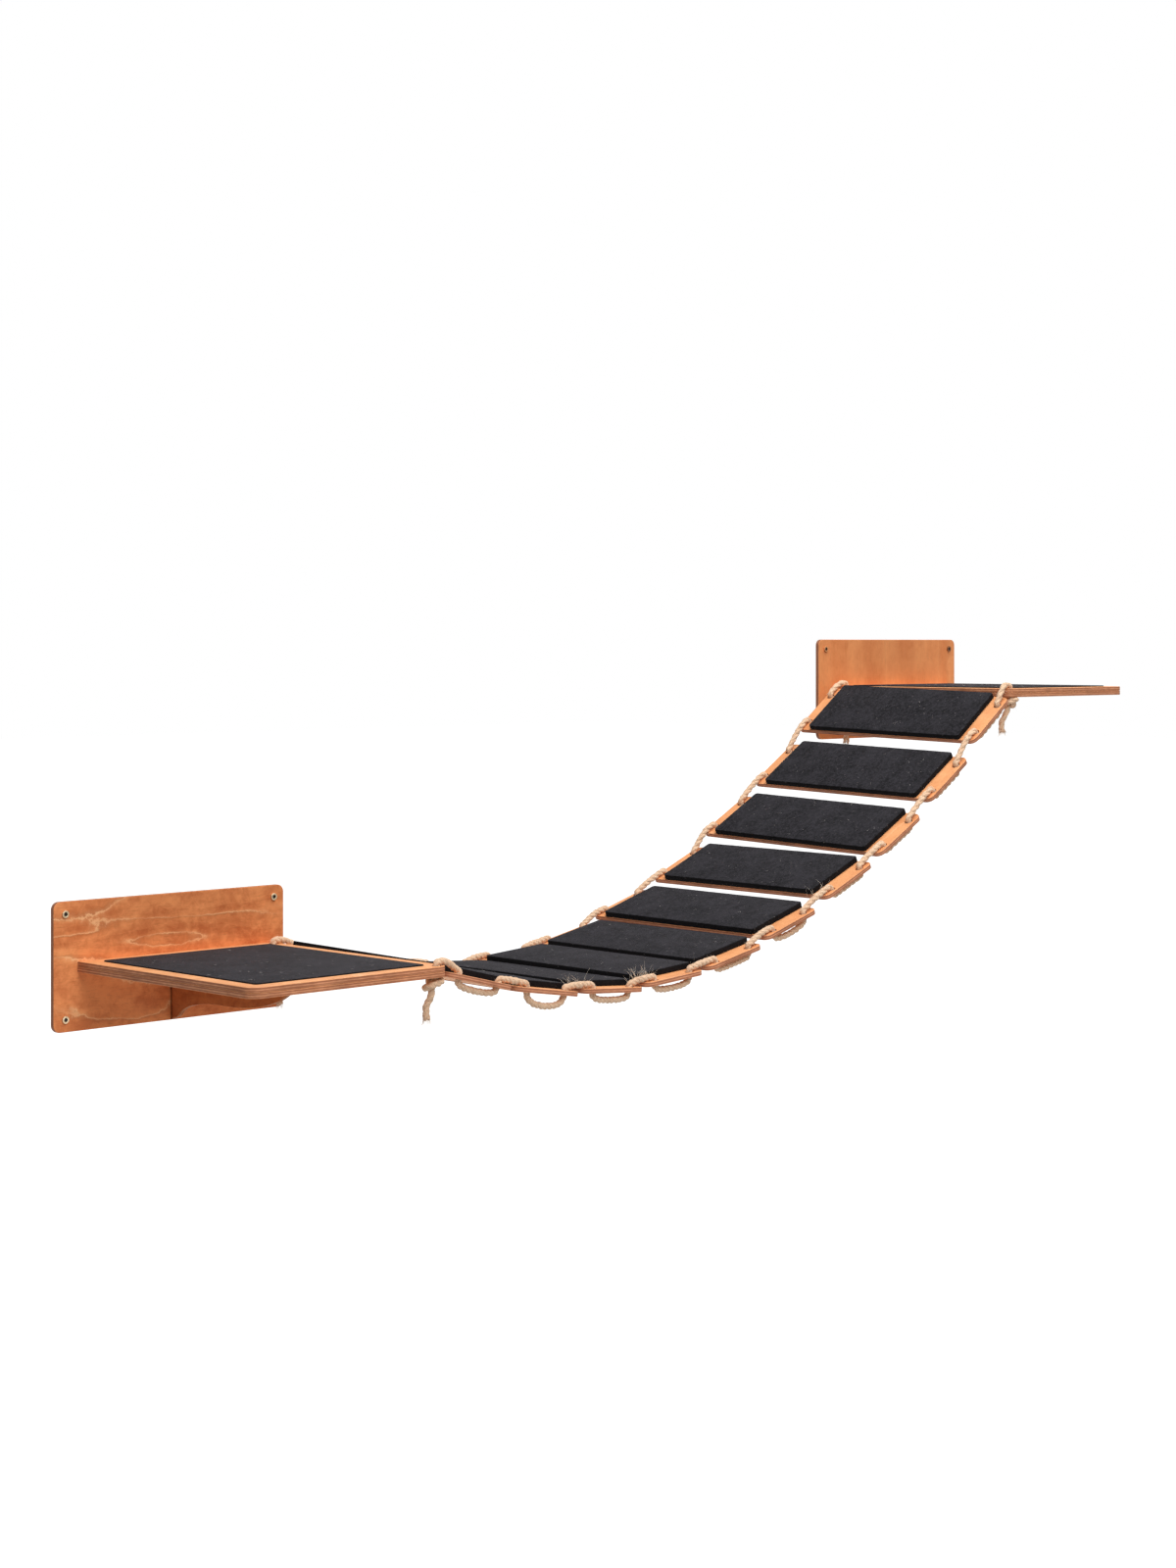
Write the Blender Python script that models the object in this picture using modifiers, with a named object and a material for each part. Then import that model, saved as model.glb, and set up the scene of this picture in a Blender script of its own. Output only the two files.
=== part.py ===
"""Cat wall bridge: two wall shelves joined by ten slats threaded on two ropes.

Metres. +X runs along the wall towards the higher shelf, +Y into the wall, +Z up.
The origin is the centre of the back face of the left wall plate.
"""
import math

import bpy
import bmesh
from mathutils import Vector

# Running gap between pieces that touch
GAP = 0.0003
# How far short of the wall a tenon or a screw ends
WALL_RELIEF = 0.0004

# Wall plates
PLATE_WIDTH = 0.330
PLATE_HEIGHT = 0.150
PLATE_THICK = 0.006
PLATE_CORNER = 0.009
SCREW_SIDE_INSET = 0.0155
SCREW_END_INSET = 0.0145

# Wall screws
SCREW_HEAD_DIA = 0.0087
SCREW_HEAD_TALL = 0.0018
SCREW_HEAD_CHAMFER = 0.0004
SCREW_SHANK_DIA = 0.0045
SOCKET_ACROSS = 0.0040
SOCKET_DEEP = 0.0011

# Shelf platforms: a base board with a glued rim frame on top
PLATFORM_WIDTH = 0.280
PLATFORM_DEPTH = 0.330
PLATFORM_CORNER = 0.015
PLATFORM_SHIFT = 0.0075
PLATFORM_UNDERSIDE = -0.0072
BASE_THICK = 0.006
RIM_THICK = 0.006
RIM_WIDTH = 0.020
WINDOW_CORNER = 0.004
shelf_hole_share = 0.6
INLAY_THICK = 0.0075

# Joinery hidden behind the plate and under the felt
TENON_WIDTH = 0.060
TENON_SPACING = 0.150

# Brackets
BRACKET_THICK = 0.006
BRACKET_REACH = 0.235
BRACKET_FOOT_MARGIN = 0.0008
BRACKET_TENON_LOW = 0.032
BRACKET_TENON_TALL = 0.024
BRACKET_TENON_START = 0.060
BRACKET_TENON_LONG = 0.070

# Slats
SLAT_WIDTH = 0.102
SLAT_THICK = 0.006
SLAT_CORNER = 0.010
SLAT_FRONT_MARGIN = 0.002
SLAT_BACK_MARGIN = 0.008
FELT_THICK = 0.0075
FELT_INSET = 0.0245
FELT_CHAMFER = 0.0035
HOLE_CLEAR = 0.0013
HOLE_END_INSET = 0.0088
HOLE_SIDE_INSET = 0.020

# Chain of slats from the low shelf to the high one, each hanging at its own angles:
# tilt raises the end that faces the high shelf, roll raises the end at the wall
slat_tilts = [math.radians(angle) for angle in
              (-13.8, -8.7, -3.9, 4.1, 11.5, 16.6, 22.6, 28.4, 32.4, 35.8)]
slat_rolls = [math.radians(angle) for angle in
              (0.9, 0.7, 0, 0.25, 0.4, 0.7, 0.6, 2.45, 2.3, 2.1)]
FIRST_GAP = 0.0022
FIRST_RISE = 0.0009
LAST_GAP = 0.0015
LAST_RISE = 0.0004
WIDEST_GAP = 0.0256
HIGHEST_STEP = 0.0120
gap_shares = (0.301, 0.274, 0.211, 0.395, 0.435, 0.920, 0.694, 0.998, 0.871)
step_shares = (-0.092, 0.142, 0.433, 0.184, 0.621, 0.571, 0.735, 0.593, 0.995)

# Ropes
ROPE_DIA = 0.008
ROPE_CLEAR = 0.0004
ROPE_ARCH = 0.0007
LOOP_SLACK = 0.0106
loop_slack_shares = (0.45, 0.95, 0.45, 0.42, 0.15, 0.50, 0, 0, 0, 0)
bend_shares = (0.26, 0.74)
bend_end_share = 1.26
loop_span_shares = (0.45, 1.0, 1.55)
KNOT_GAP = 0.0007

# Overhand knot pulled tight under a shelf, from the hole down, in shares of the rope's pitch
knot_shares = (
    (0, 0, 1.06), (-0.05, -0.15, 0.49), (-0.1, -0.32, -0.09), (-0.23, -0.59, -0.6),
    (-0.12, -1.03, -0.98), (0.3, -1.35, -1.25), (0.88, -1.4, -1.37), (1.41, -1.15, -1.33),
    (1.71, -0.67, -1.15), (1.67, -0.13, -0.91), (1.3, 0.28, -0.69), (0.75, 0.46, -0.56),
    (0.17, 0.59, -0.45), (-0.4, 0.61, -0.31), (-0.88, 0.31, -0.12), (-1.08, -0.2, 0.07),
    (-0.95, -0.76, 0.2), (-0.52, -1.17, 0.21), (0.04, -1.29, 0.07), (0.53, -1.1, -0.2),
    (0.76, -0.73, -0.6), (0.73, -0.44, -1.12),
)
knot_top = max(z for x, y, z in knot_shares[3:])
# Each knot's hand and turn, and its hanging tail from where it leaves the knot
knot_tails = {
    "front_left": (1, math.radians(195), ((-0.05, 0, -1.2), (-0.5, 0.48, -2.7), (-0.45, 0.45, -4.3))),
    "front_right": (1, math.radians(90), ((-0.3, 0.15, -1.2), (-0.8, 0.75, -2.9), (-0.75, 0.72, -4.5))),
    "back_left": (-1, math.radians(165), ((-0.2, -0.3, -1.4), (0, -0.4, -3.4), (0.31, -0.51, -5.74))),
    "back_right": (-1, math.radians(75), ((0.1, 0.4, -1.5), (0.1, 0.7, -4.2), (-0.04, 0.92, -7.14))),
}

# Fineness of round shapes
CORNER_STEPS = 4
HOLE_SIDES = 12
SCREW_SIDES = 16
KNOT_STEPS = 3
TAIL_STEPS = 2

# Places that follow from the sizes
plate_front = -PLATE_THICK
bracket_drop = PLATE_HEIGHT / 2 + PLATFORM_UNDERSIDE - BRACKET_FOOT_MARGIN
hole_dia = ROPE_DIA + 2 * HOLE_CLEAR
shelf_hole_inset = RIM_WIDTH * shelf_hole_share
slat_length = PLATFORM_DEPTH - SLAT_FRONT_MARGIN - SLAT_BACK_MARGIN
rope_radius = ROPE_DIA / 2
rope_lift = rope_radius + ROPE_CLEAR
platform_front = plate_front - PLATFORM_DEPTH
rim_bottom = PLATFORM_UNDERSIDE + BASE_THICK + GAP
platform_top = rim_bottom + RIM_THICK
platform_left = PLATFORM_SHIFT - PLATFORM_WIDTH / 2
platform_right = PLATFORM_SHIFT + PLATFORM_WIDTH / 2
slat_front = platform_front + SLAT_FRONT_MARGIN
slat_middle = slat_front + slat_length / 2
front_row = slat_front + HOLE_END_INSET
back_row = slat_front + slat_length - HOLE_END_INSET
hole_reach = SLAT_WIDTH / 2 - HOLE_SIDE_INSET

for old in list(bpy.data.objects):
    bpy.data.objects.remove(old, do_unlink=True)

collection = bpy.data.collections.new("cat_wall_bridge")
bpy.context.scene.collection.children.link(collection)


def make_material(name, color, roughness, metallic=0.0):
    """A Principled material with the piece's colour."""
    material = bpy.data.materials.new(name)
    material.use_nodes = True
    shader = material.node_tree.nodes["Principled BSDF"]
    shader.inputs["Base Color"].default_value = (*color, 1.0)
    shader.inputs["Roughness"].default_value = roughness
    shader.inputs["Metallic"].default_value = metallic
    return material


plate_wood = make_material("plate_wood", (0.56, 0.16, 0.045), 0.5)
shelf_wood = make_material("shelf_wood", (0.62, 0.24, 0.09), 0.5)
slat_wood = make_material("slat_wood", (0.80, 0.36, 0.13), 0.5)
felt_cloth = make_material("felt_cloth", (0.035, 0.034, 0.038), 0.95)
rope_fibre = make_material("rope_fibre", (0.70, 0.45, 0.25), 0.9)
brass = make_material("brass", (0.72, 0.52, 0.28), 0.35, 1.0)


def rounded_outline(half_x, half_y, radii, steps):
    """Corner points of a rectangle, one radius each, counter-clockwise from the lower left."""
    corners = ((-1, -1), (1, -1), (1, 1), (-1, 1))
    points = []
    for index, (side_x, side_y) in enumerate(corners):
        radius = radii[index]
        if not radius:
            points.append((side_x * half_x, side_y * half_y))
            continue
        center_x = side_x * (half_x - radius)
        center_y = side_y * (half_y - radius)
        start = math.pi + index * math.pi / 2
        for step in range(steps + 1):
            angle = start + step * math.pi / 2 / steps
            points.append((center_x + radius * math.cos(angle), center_y + radius * math.sin(angle)))
    return points


def circle_outline(x, y, diameter, sides):
    """Points of a round hole."""
    return [(x + diameter / 2 * math.cos(2 * math.pi * side / sides),
             y + diameter / 2 * math.sin(2 * math.pi * side / sides)) for side in range(sides)]


def box_outline(x, y, width, height):
    """Points of a square hole round its centre."""
    return [(x + side_x * width / 2, y + side_y * height / 2)
            for side_x, side_y in ((-1, -1), (1, -1), (1, 1), (-1, 1))]


def shifted(points, x, y):
    """The same points, moved."""
    return [(px + x, py + y) for px, py in points]


def cut_sheet(name, outlines, thick, material, location, rotation=(0, 0, 0)):
    """A flat board: its outline and its holes as one filled curve, half the thickness each way."""
    curve = bpy.data.curves.new(name, "CURVE")
    curve.dimensions = "2D"
    curve.fill_mode = "BOTH"
    curve.extrude = thick / 2
    for outline in outlines:
        spline = curve.splines.new("POLY")
        spline.points.add(len(outline) - 1)
        for point, (x, y) in zip(spline.points, outline):
            point.co = (x, y, 0, 1)
        spline.use_cyclic_u = True
    curve.materials.append(material)
    board = bpy.data.objects.new(name, curve)
    board.location = location
    board.rotation_euler = rotation
    collection.objects.link(board)
    return board


def smooth_points(points, steps):
    """Points along a Catmull-Rom curve through the given ones."""
    ends = [points[0] * 2 - points[1], *points, points[-1] * 2 - points[-2]]
    result = []
    for index in range(1, len(ends) - 2):
        a, b, c, d = ends[index - 1:index + 3]
        for step in range(steps):
            t = step / steps
            result.append((b * 2 + (c - a) * t + (a * 2 - b * 5 + c * 4 - d) * t * t
                           + (b * 3 - a - c * 3 + d) * t * t * t) / 2)
    result.append(points[-1].copy())
    return result


def tenon_centers():
    """Where the base board's two tenons lie, from the plate's centre line."""
    return (PLATFORM_SHIFT - TENON_SPACING / 2, PLATFORM_SHIFT + TENON_SPACING / 2)


def make_plate(name, origin):
    """Wall plate with four screw holes, two shelf slots and one bracket slot."""
    half_x = PLATE_WIDTH / 2
    half_z = PLATE_HEIGHT / 2
    outlines = [rounded_outline(half_x, half_z, (PLATE_CORNER,) * 4, CORNER_STEPS)]
    for x, z in screw_places():
        outlines.append(circle_outline(x, z, SCREW_SHANK_DIA + 2 * GAP, HOLE_SIDES))
    slot_z = PLATFORM_UNDERSIDE + BASE_THICK / 2
    for x in tenon_centers():
        outlines.append(box_outline(x, slot_z, TENON_WIDTH + 2 * GAP, BASE_THICK + 2 * GAP))
    slot_z = PLATFORM_UNDERSIDE - BRACKET_TENON_LOW + BRACKET_TENON_TALL / 2
    outlines.append(box_outline(0, slot_z, BRACKET_THICK + 2 * GAP, BRACKET_TENON_TALL + 2 * GAP))
    place = origin + Vector((0, -PLATE_THICK / 2, 0))
    return cut_sheet(name, outlines, PLATE_THICK, plate_wood, place, (math.pi / 2, 0, 0))


def screw_places():
    """The four screws, from the plate's centre."""
    x = PLATE_WIDTH / 2 - SCREW_SIDE_INSET
    z = PLATE_HEIGHT / 2 - SCREW_END_INSET
    return ((-x, -z), (x, -z), (x, z), (-x, z))


def make_screw_mesh():
    """A turned screw with a hexagon socket; its seat is at zero and its head points along +Z."""
    bottom = -(PLATE_THICK - WALL_RELIEF + GAP)
    head = SCREW_HEAD_DIA / 2
    shank = SCREW_SHANK_DIA / 2
    profile = ((0, SCREW_HEAD_TALL), (head - SCREW_HEAD_CHAMFER, SCREW_HEAD_TALL),
               (head, SCREW_HEAD_TALL - SCREW_HEAD_CHAMFER), (head, 0), (shank, 0), (shank, bottom),
               (0, bottom))
    mesh = bpy.data.meshes.new("screw_profile")
    mesh.from_pydata([(x, 0, z) for x, z in profile],
                     [(index, index + 1) for index in range(len(profile) - 1)], [])
    turned = bpy.data.objects.new("screw_profile", mesh)
    collection.objects.link(turned)
    turn = turned.modifiers.new("turn", "SCREW")
    turn.steps = SCREW_SIDES
    turn.render_steps = SCREW_SIDES
    turn.use_merge_vertices = True
    turn.merge_threshold = GAP / 100

    socket_mesh = bpy.data.meshes.new("screw_socket")
    shape = bmesh.new()
    radius = SOCKET_ACROSS / math.sqrt(3)
    bmesh.ops.create_cone(shape, cap_ends=True, segments=6, radius1=radius, radius2=radius,
                          depth=2 * SOCKET_DEEP)
    shape.to_mesh(socket_mesh)
    shape.free()
    socket = bpy.data.objects.new("screw_socket", socket_mesh)
    socket.location = (0, 0, SCREW_HEAD_TALL)
    collection.objects.link(socket)
    cut = turned.modifiers.new("socket", "BOOLEAN")
    cut.object = socket
    cut.operation = "DIFFERENCE"

    bpy.context.view_layer.update()
    graph = bpy.context.evaluated_depsgraph_get()
    result = bpy.data.meshes.new_from_object(turned.evaluated_get(graph))
    bpy.data.objects.remove(turned, do_unlink=True)
    bpy.data.objects.remove(socket, do_unlink=True)
    result.name = "wall_screw"
    result.materials.clear()
    result.materials.append(brass)
    return result


def make_base(name, origin):
    """Base board of a shelf: front corners rounded, tenons at the back, a slot and rope holes."""
    half_x = PLATFORM_WIDTH / 2
    back = plate_front - GAP
    tenon_end = -WALL_RELIEF
    depth = PLATFORM_DEPTH - GAP
    outline = shifted(rounded_outline(half_x, depth / 2, (PLATFORM_CORNER, PLATFORM_CORNER, 0, 0),
                                      CORNER_STEPS), PLATFORM_SHIFT, back - depth / 2)
    body = outline[:-1]
    last = outline[-1]
    for x in reversed(tenon_centers()):
        body.append((x + TENON_WIDTH / 2, back))
        body.append((x + TENON_WIDTH / 2, tenon_end))
        body.append((x - TENON_WIDTH / 2, tenon_end))
        body.append((x - TENON_WIDTH / 2, back))
    body.append(last)
    slot_y = plate_front - BRACKET_TENON_START - BRACKET_TENON_LONG / 2
    outlines = [body, box_outline(0, slot_y, BRACKET_THICK + 2 * GAP, BRACKET_TENON_LONG + 2 * GAP)]
    for x in shelf_hole_places(origin):
        for y in (front_row, back_row):
            outlines.append(circle_outline(x, y, hole_dia, HOLE_SIDES))
    place = origin + Vector((0, 0, PLATFORM_UNDERSIDE + BASE_THICK / 2))
    return cut_sheet(name, outlines, BASE_THICK, shelf_wood, place)


def shelf_hole_places(origin):
    """Rope holes of a shelf, on the side that faces the slats."""
    if origin.x > 0:
        return (platform_left + shelf_hole_inset,)
    return (platform_right - shelf_hole_inset,)


def make_rim(name, origin):
    """Rim frame glued on the base board round the felt."""
    half_x = PLATFORM_WIDTH / 2
    depth = PLATFORM_DEPTH - GAP
    middle = plate_front - GAP - depth / 2
    outline = rounded_outline(half_x, depth / 2, (PLATFORM_CORNER, PLATFORM_CORNER, 0, 0), CORNER_STEPS)
    window = rounded_outline(half_x - RIM_WIDTH, depth / 2 - RIM_WIDTH, (WINDOW_CORNER,) * 4, 2)
    outlines = [shifted(outline, PLATFORM_SHIFT, middle), shifted(window, PLATFORM_SHIFT, middle)]
    for x in shelf_hole_places(origin):
        for y in (front_row, back_row):
            outlines.append(circle_outline(x, y, hole_dia, HOLE_SIDES))
    place = origin + Vector((0, 0, rim_bottom + RIM_THICK / 2))
    return cut_sheet(name, outlines, RIM_THICK, shelf_wood, place)


def make_inlay(name, origin):
    """Felt laid in the rim's window."""
    half_x = PLATFORM_WIDTH / 2 - RIM_WIDTH - GAP
    depth = PLATFORM_DEPTH - GAP
    half_y = depth / 2 - RIM_WIDTH - GAP
    outline = rounded_outline(half_x, half_y, (WINDOW_CORNER,) * 4, 2)
    place = origin + Vector((PLATFORM_SHIFT, plate_front - GAP - depth / 2, rim_bottom + INLAY_THICK / 2))
    return cut_sheet(name, [outline], INLAY_THICK, felt_cloth, place)


# Lower edge of a bracket from the wall outwards: shares of its reach and of its drop
bracket_edge_shares = ((0, 1.0), (0.06, 0.925), (0.0915, 0.825), (0.135, 0.745), (0.183, 0.695),
                       (0.272, 0.639), (0.383, 0.612), (0.468, 0.612))
bracket_nose_steps = 7


def make_bracket(name, origin):
    """Upright rib under a shelf, with a tenon into the plate and one into the base board."""
    top = PLATFORM_UNDERSIDE - GAP
    edge = [Vector((BRACKET_REACH * reach, -bracket_drop * drop, 0)) for reach, drop in bracket_edge_shares]
    lower = smooth_points(edge, 2)
    turn_reach = BRACKET_REACH * bracket_edge_shares[-1][0]
    turn_drop = bracket_drop * bracket_edge_shares[-1][1]
    for step in range(1, bracket_nose_steps + 1):
        angle = math.pi / 2 * step / bracket_nose_steps
        reach = turn_reach + (BRACKET_REACH - turn_reach) * math.sin(angle)
        lower.append(Vector((reach, -turn_drop * math.cos(angle), 0)))
    # Along the top from the nose back to the wall, round both tenons
    first = GAP - PLATE_THICK + WALL_RELIEF
    rise = BASE_THICK + GAP - WALL_RELIEF
    tenon_far = BRACKET_TENON_START + BRACKET_TENON_LONG
    tenon_top = -BRACKET_TENON_LOW + BRACKET_TENON_TALL + GAP
    outline = [(point.x, point.y) for point in lower]
    outline[0] = (GAP, outline[0][1])
    outline += [(tenon_far, 0), (tenon_far, rise), (BRACKET_TENON_START, rise), (BRACKET_TENON_START, 0)]
    outline += [(GAP, 0), (GAP, tenon_top), (first - GAP, tenon_top), (first - GAP, -BRACKET_TENON_LOW + GAP),
                (GAP, -BRACKET_TENON_LOW + GAP)]
    place = origin + Vector((0, plate_front, top))
    # The outline's reach points away from the wall, its height up
    return cut_sheet(name, [outline], BRACKET_THICK, shelf_wood, place, (math.pi / 2, 0, -math.pi / 2))


def slat_places():
    """Centre of each slat's board in X and Z with its angles, and where the high shelf ends up."""
    half = SLAT_WIDTH / 2
    places = []
    corner = Vector((platform_right + FIRST_GAP, PLATFORM_UNDERSIDE + FIRST_RISE))
    for index, (tilt, roll) in enumerate(zip(slat_tilts, slat_rolls)):
        along = Vector((math.cos(tilt), math.sin(tilt)))
        up = Vector((-math.sin(tilt), math.cos(tilt)))
        if index:
            mean = (tilt + slat_tilts[index - 1]) / 2
            gap = WIDEST_GAP * gap_shares[index - 1]
            step = HIGHEST_STEP * step_shares[index - 1]
            corner = corner + Vector((gap * math.cos(mean) - step * math.sin(mean),
                                      gap * math.sin(mean) + step * math.cos(mean)))
        center = corner + along * half + up * SLAT_THICK / 2
        places.append((center, along, up, tilt, roll))
        corner = corner + along * SLAT_WIDTH
    shelf = Vector((corner.x + LAST_GAP - platform_left, 0,
                    corner.y + LAST_RISE - PLATFORM_UNDERSIDE))
    return places, shelf


def section_at(place, row):
    """Centre of a slat's board in X and Z where a rope passes through it, with its directions."""
    center, along, up, tilt, roll = place
    return center + up * math.sin(roll) * (row - slat_middle), along, up


def make_slat(index, place):
    """One slat board with its four rope holes, and the felt on it."""
    center, along, up, tilt, roll = place
    name = "slat_%02d" % (index + 1)
    outlines = [rounded_outline(SLAT_WIDTH / 2, slat_length / 2, (SLAT_CORNER,) * 4, CORNER_STEPS)]
    for side in (-1, 1):
        for row in (front_row, back_row):
            outlines.append(circle_outline(side * hole_reach, row - slat_middle, hole_dia, HOLE_SIDES))
    pivot = bpy.data.objects.new(name + "_pivot", None)
    pivot.location = (center.x, slat_middle, center.y)
    pivot.rotation_euler = (roll, -tilt, 0)
    collection.objects.link(pivot)
    board = cut_sheet(name + "_board", outlines, SLAT_THICK, slat_wood, (0, 0, 0))
    board.parent = pivot
    half_y = slat_length / 2 - FELT_INSET
    half_x = SLAT_WIDTH / 2
    outline = []
    for side_x, side_y in ((-1, -1), (1, -1), (1, 1), (-1, 1)):
        ends = [(side_x * half_x, side_y * (half_y - FELT_CHAMFER)),
                (side_x * (half_x - FELT_CHAMFER), side_y * half_y)]
        outline += ends if side_x == side_y else reversed(ends)
    felt = cut_sheet(name + "_felt", [outline], FELT_THICK, felt_cloth,
                     (0, 0, SLAT_THICK / 2 + GAP + FELT_THICK / 2))
    felt.parent = pivot


def upper_hull(points):
    """The taut line over the points, from the first to the last."""
    hull = []
    for point in points:
        while len(hull) > 1:
            a, b = hull[-2], hull[-1]
            if (b.x - a.x) * (point.y - a.y) - (b.y - a.y) * (point.x - a.x) < 0:
                break
            hull.pop()
        hull.append(point)
    return hull


def corner_points(corner, up, outward):
    """Rope centres round a board's upper edge, from its top face towards its end face."""
    turned = []
    for angle in (0, math.radians(15), math.radians(30)):
        turned.append(corner + (up * math.cos(angle) + outward * math.sin(angle)) * rope_lift)
    return turned


def over_the_gap(low, high):
    """Rope centres from one board's hole, over the gap, into the next board's hole."""
    bend_x = bend_shares[0] * rope_radius
    bend_z = bend_shares[1] * rope_radius
    end_x = bend_end_share * rope_radius
    hole_a, edge_a, along_a, up_a = low
    hole_b, edge_b, along_b, up_b = high
    over = [hole_a + along_a * end_x + up_a * rope_lift]
    over += corner_points(edge_a, up_a, along_a)
    over += reversed(corner_points(edge_b, up_b, -along_b))
    over.append(hole_b - along_b * end_x + up_b * rope_lift)
    taut = upper_hull(over)
    route = [hole_a + along_a * bend_x + up_a * bend_z]
    for start, end in zip(taut, taut[1:]):
        route.append(start)
        if (end - start).length > 2 * ROPE_DIA:
            lift = Vector((start.y - end.y, end.x - start.x)).normalized() * ROPE_ARCH
            route.append((start + end) / 2 + lift)
    route.append(taut[-1])
    route.append(hole_b - along_b * bend_x + up_b * bend_z)
    return route


def under_the_slat(index, section):
    """Rope centres from a slat's left hole, under it, into its right hole."""
    center, along, up = section
    bend_x = bend_shares[0] * rope_radius
    bend_z = bend_shares[1] * rope_radius
    slack = LOOP_SLACK * loop_slack_shares[index % len(loop_slack_shares)]
    offsets = [bend_end_share * rope_radius]
    offsets += [share * hole_reach for share in loop_span_shares]
    offsets.append(2 * hole_reach - bend_end_share * rope_radius)
    left = center - along * hole_reach
    right = center + along * hole_reach
    below = -SLAT_THICK / 2
    route = [left, left + along * bend_x + up * (below - bend_z)]
    for offset in offsets:
        from_middle = offset / hole_reach - 1
        depth = rope_lift + slack * (1 - abs(from_middle) ** 3)
        route.append(left + along * offset + up * (below - depth))
    route += [right - along * bend_x + up * (below - bend_z), right]
    return route


def knot_route(key, hole_x, row, underside):
    """An overhand knot hanging under a shelf's hole, and its tail, from the top down."""
    pitch = ROPE_DIA + KNOT_GAP
    center = Vector((hole_x, row, underside - knot_top * pitch - rope_radius - KNOT_GAP))
    hand, turn, tail = knot_tails[key]
    knot = []
    for x, y, z in knot_shares:
        turned = Vector((hand * x * math.cos(turn) - y * math.sin(turn),
                         hand * x * math.sin(turn) + y * math.cos(turn), z))
        knot.append(center + turned * pitch)
    ends = [knot[-1] + Vector(offset) * pitch for offset in tail]
    route = smooth_points(knot + ends, KNOT_STEPS)
    tail_start = (len(knot) - 1) * KNOT_STEPS
    thinned = route[tail_start::KNOT_STEPS - TAIL_STEPS + 1]
    if (thinned[-1] - route[-1]).length > 0:
        thinned.append(route[-1])
    return route[:tail_start] + thinned


def least_gap_to_itself(points):
    """Smallest space between two stretches of the rope that aren't neighbours."""
    lengths = [0]
    for a, b in zip(points, points[1:]):
        lengths.append(lengths[-1] + (b - a).length)
    least = None
    for i, a in enumerate(points):
        for j in range(i + 1, len(points)):
            if lengths[j] - lengths[i] < 2 * ROPE_DIA:
                continue
            distance = (a - points[j]).length
            if least is None or distance < least:
                least = distance
    return least - ROPE_DIA, lengths[-1]


def make_rope(name, side, row, places, shelf):
    """One rope, whole: knot, up through the low shelf, through every slat, down through the high one."""
    flat = Vector((1, 0))
    upright = Vector((0, 1))
    low_x = platform_right - shelf_hole_inset
    high_x = shelf.x + platform_left + shelf_hole_inset
    low_hole = Vector((low_x, platform_top))
    high_hole = Vector((high_x, platform_top + shelf.z))
    sections = [section_at(place, row) for place in places]
    steps = [(low_hole, Vector((platform_right, platform_top)), flat, upright)]
    for center, along, up in sections:
        surface = center + up * SLAT_THICK / 2
        half = along * SLAT_WIDTH / 2
        reach = along * hole_reach
        steps.append((surface - reach, surface - half, along, up))
        steps.append((surface + reach, surface + half, along, up))
    steps.append((high_hole, Vector((shelf.x + platform_left, platform_top + shelf.z)), flat, upright))
    flat_route = []
    for index, section in enumerate(sections):
        flat_route += over_the_gap(steps[2 * index], steps[2 * index + 1])
        flat_route += under_the_slat(index, section)
    flat_route += over_the_gap(steps[-2], steps[-1])
    middle = (PLATFORM_UNDERSIDE + platform_top) / 2
    points = list(reversed(knot_route(side + "_left", low_x, row, PLATFORM_UNDERSIDE)))
    points.append(Vector((low_x, row, middle)))
    points += [Vector((point.x, row, point.y)) for point in flat_route]
    points.append(Vector((high_x, row, middle + shelf.z)))
    points += knot_route(side + "_right", high_x, row, PLATFORM_UNDERSIDE + shelf.z)
    gap, length = least_gap_to_itself(points)
    print("%s: length %.3f m, least gap to itself %.2f mm, %d points"
          % (name, length, gap * 1000, len(points)))

    curve = bpy.data.curves.new(name, "CURVE")
    curve.dimensions = "3D"
    curve.bevel_depth = rope_radius
    curve.bevel_resolution = 2
    curve.use_fill_caps = True
    spline = curve.splines.new("POLY")
    spline.points.add(len(points) - 1)
    for target, point in zip(spline.points, points):
        target.co = (*point, 1)
    curve.materials.append(rope_fibre)
    rope = bpy.data.objects.new(name, curve)
    collection.objects.link(rope)


places, shelf_offset = slat_places()
screw_mesh = make_screw_mesh()
for side, origin in (("left", Vector((0, 0, 0))), ("right", shelf_offset)):
    make_plate(side + "_wall_plate", origin)
    make_base(side + "_platform_base", origin)
    make_rim(side + "_platform_rim", origin)
    make_inlay(side + "_platform_felt", origin)
    make_bracket(side + "_bracket", origin)
    for number, (x, z) in enumerate(screw_places(), 1):
        screw = bpy.data.objects.new("%s_wall_screw_%d" % (side, number), screw_mesh)
        screw.location = origin + Vector((x, plate_front - GAP, z))
        screw.rotation_euler = (math.pi / 2, 0, 0)
        collection.objects.link(screw)
for index, place in enumerate(places):
    make_slat(index, place)
make_rope("front_rope", "front", front_row, places, shelf_offset)
make_rope("back_rope", "back", back_row, places, shelf_offset)
print("high shelf offset", [round(value * 1000, 2) for value in shelf_offset])
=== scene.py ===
"""Looks of the cat wall bridge: wood, felt, twisted rope and brass screws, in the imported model's frame."""

import math
import random

import bmesh
import bpy
from mathutils import Matrix, Vector


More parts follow.
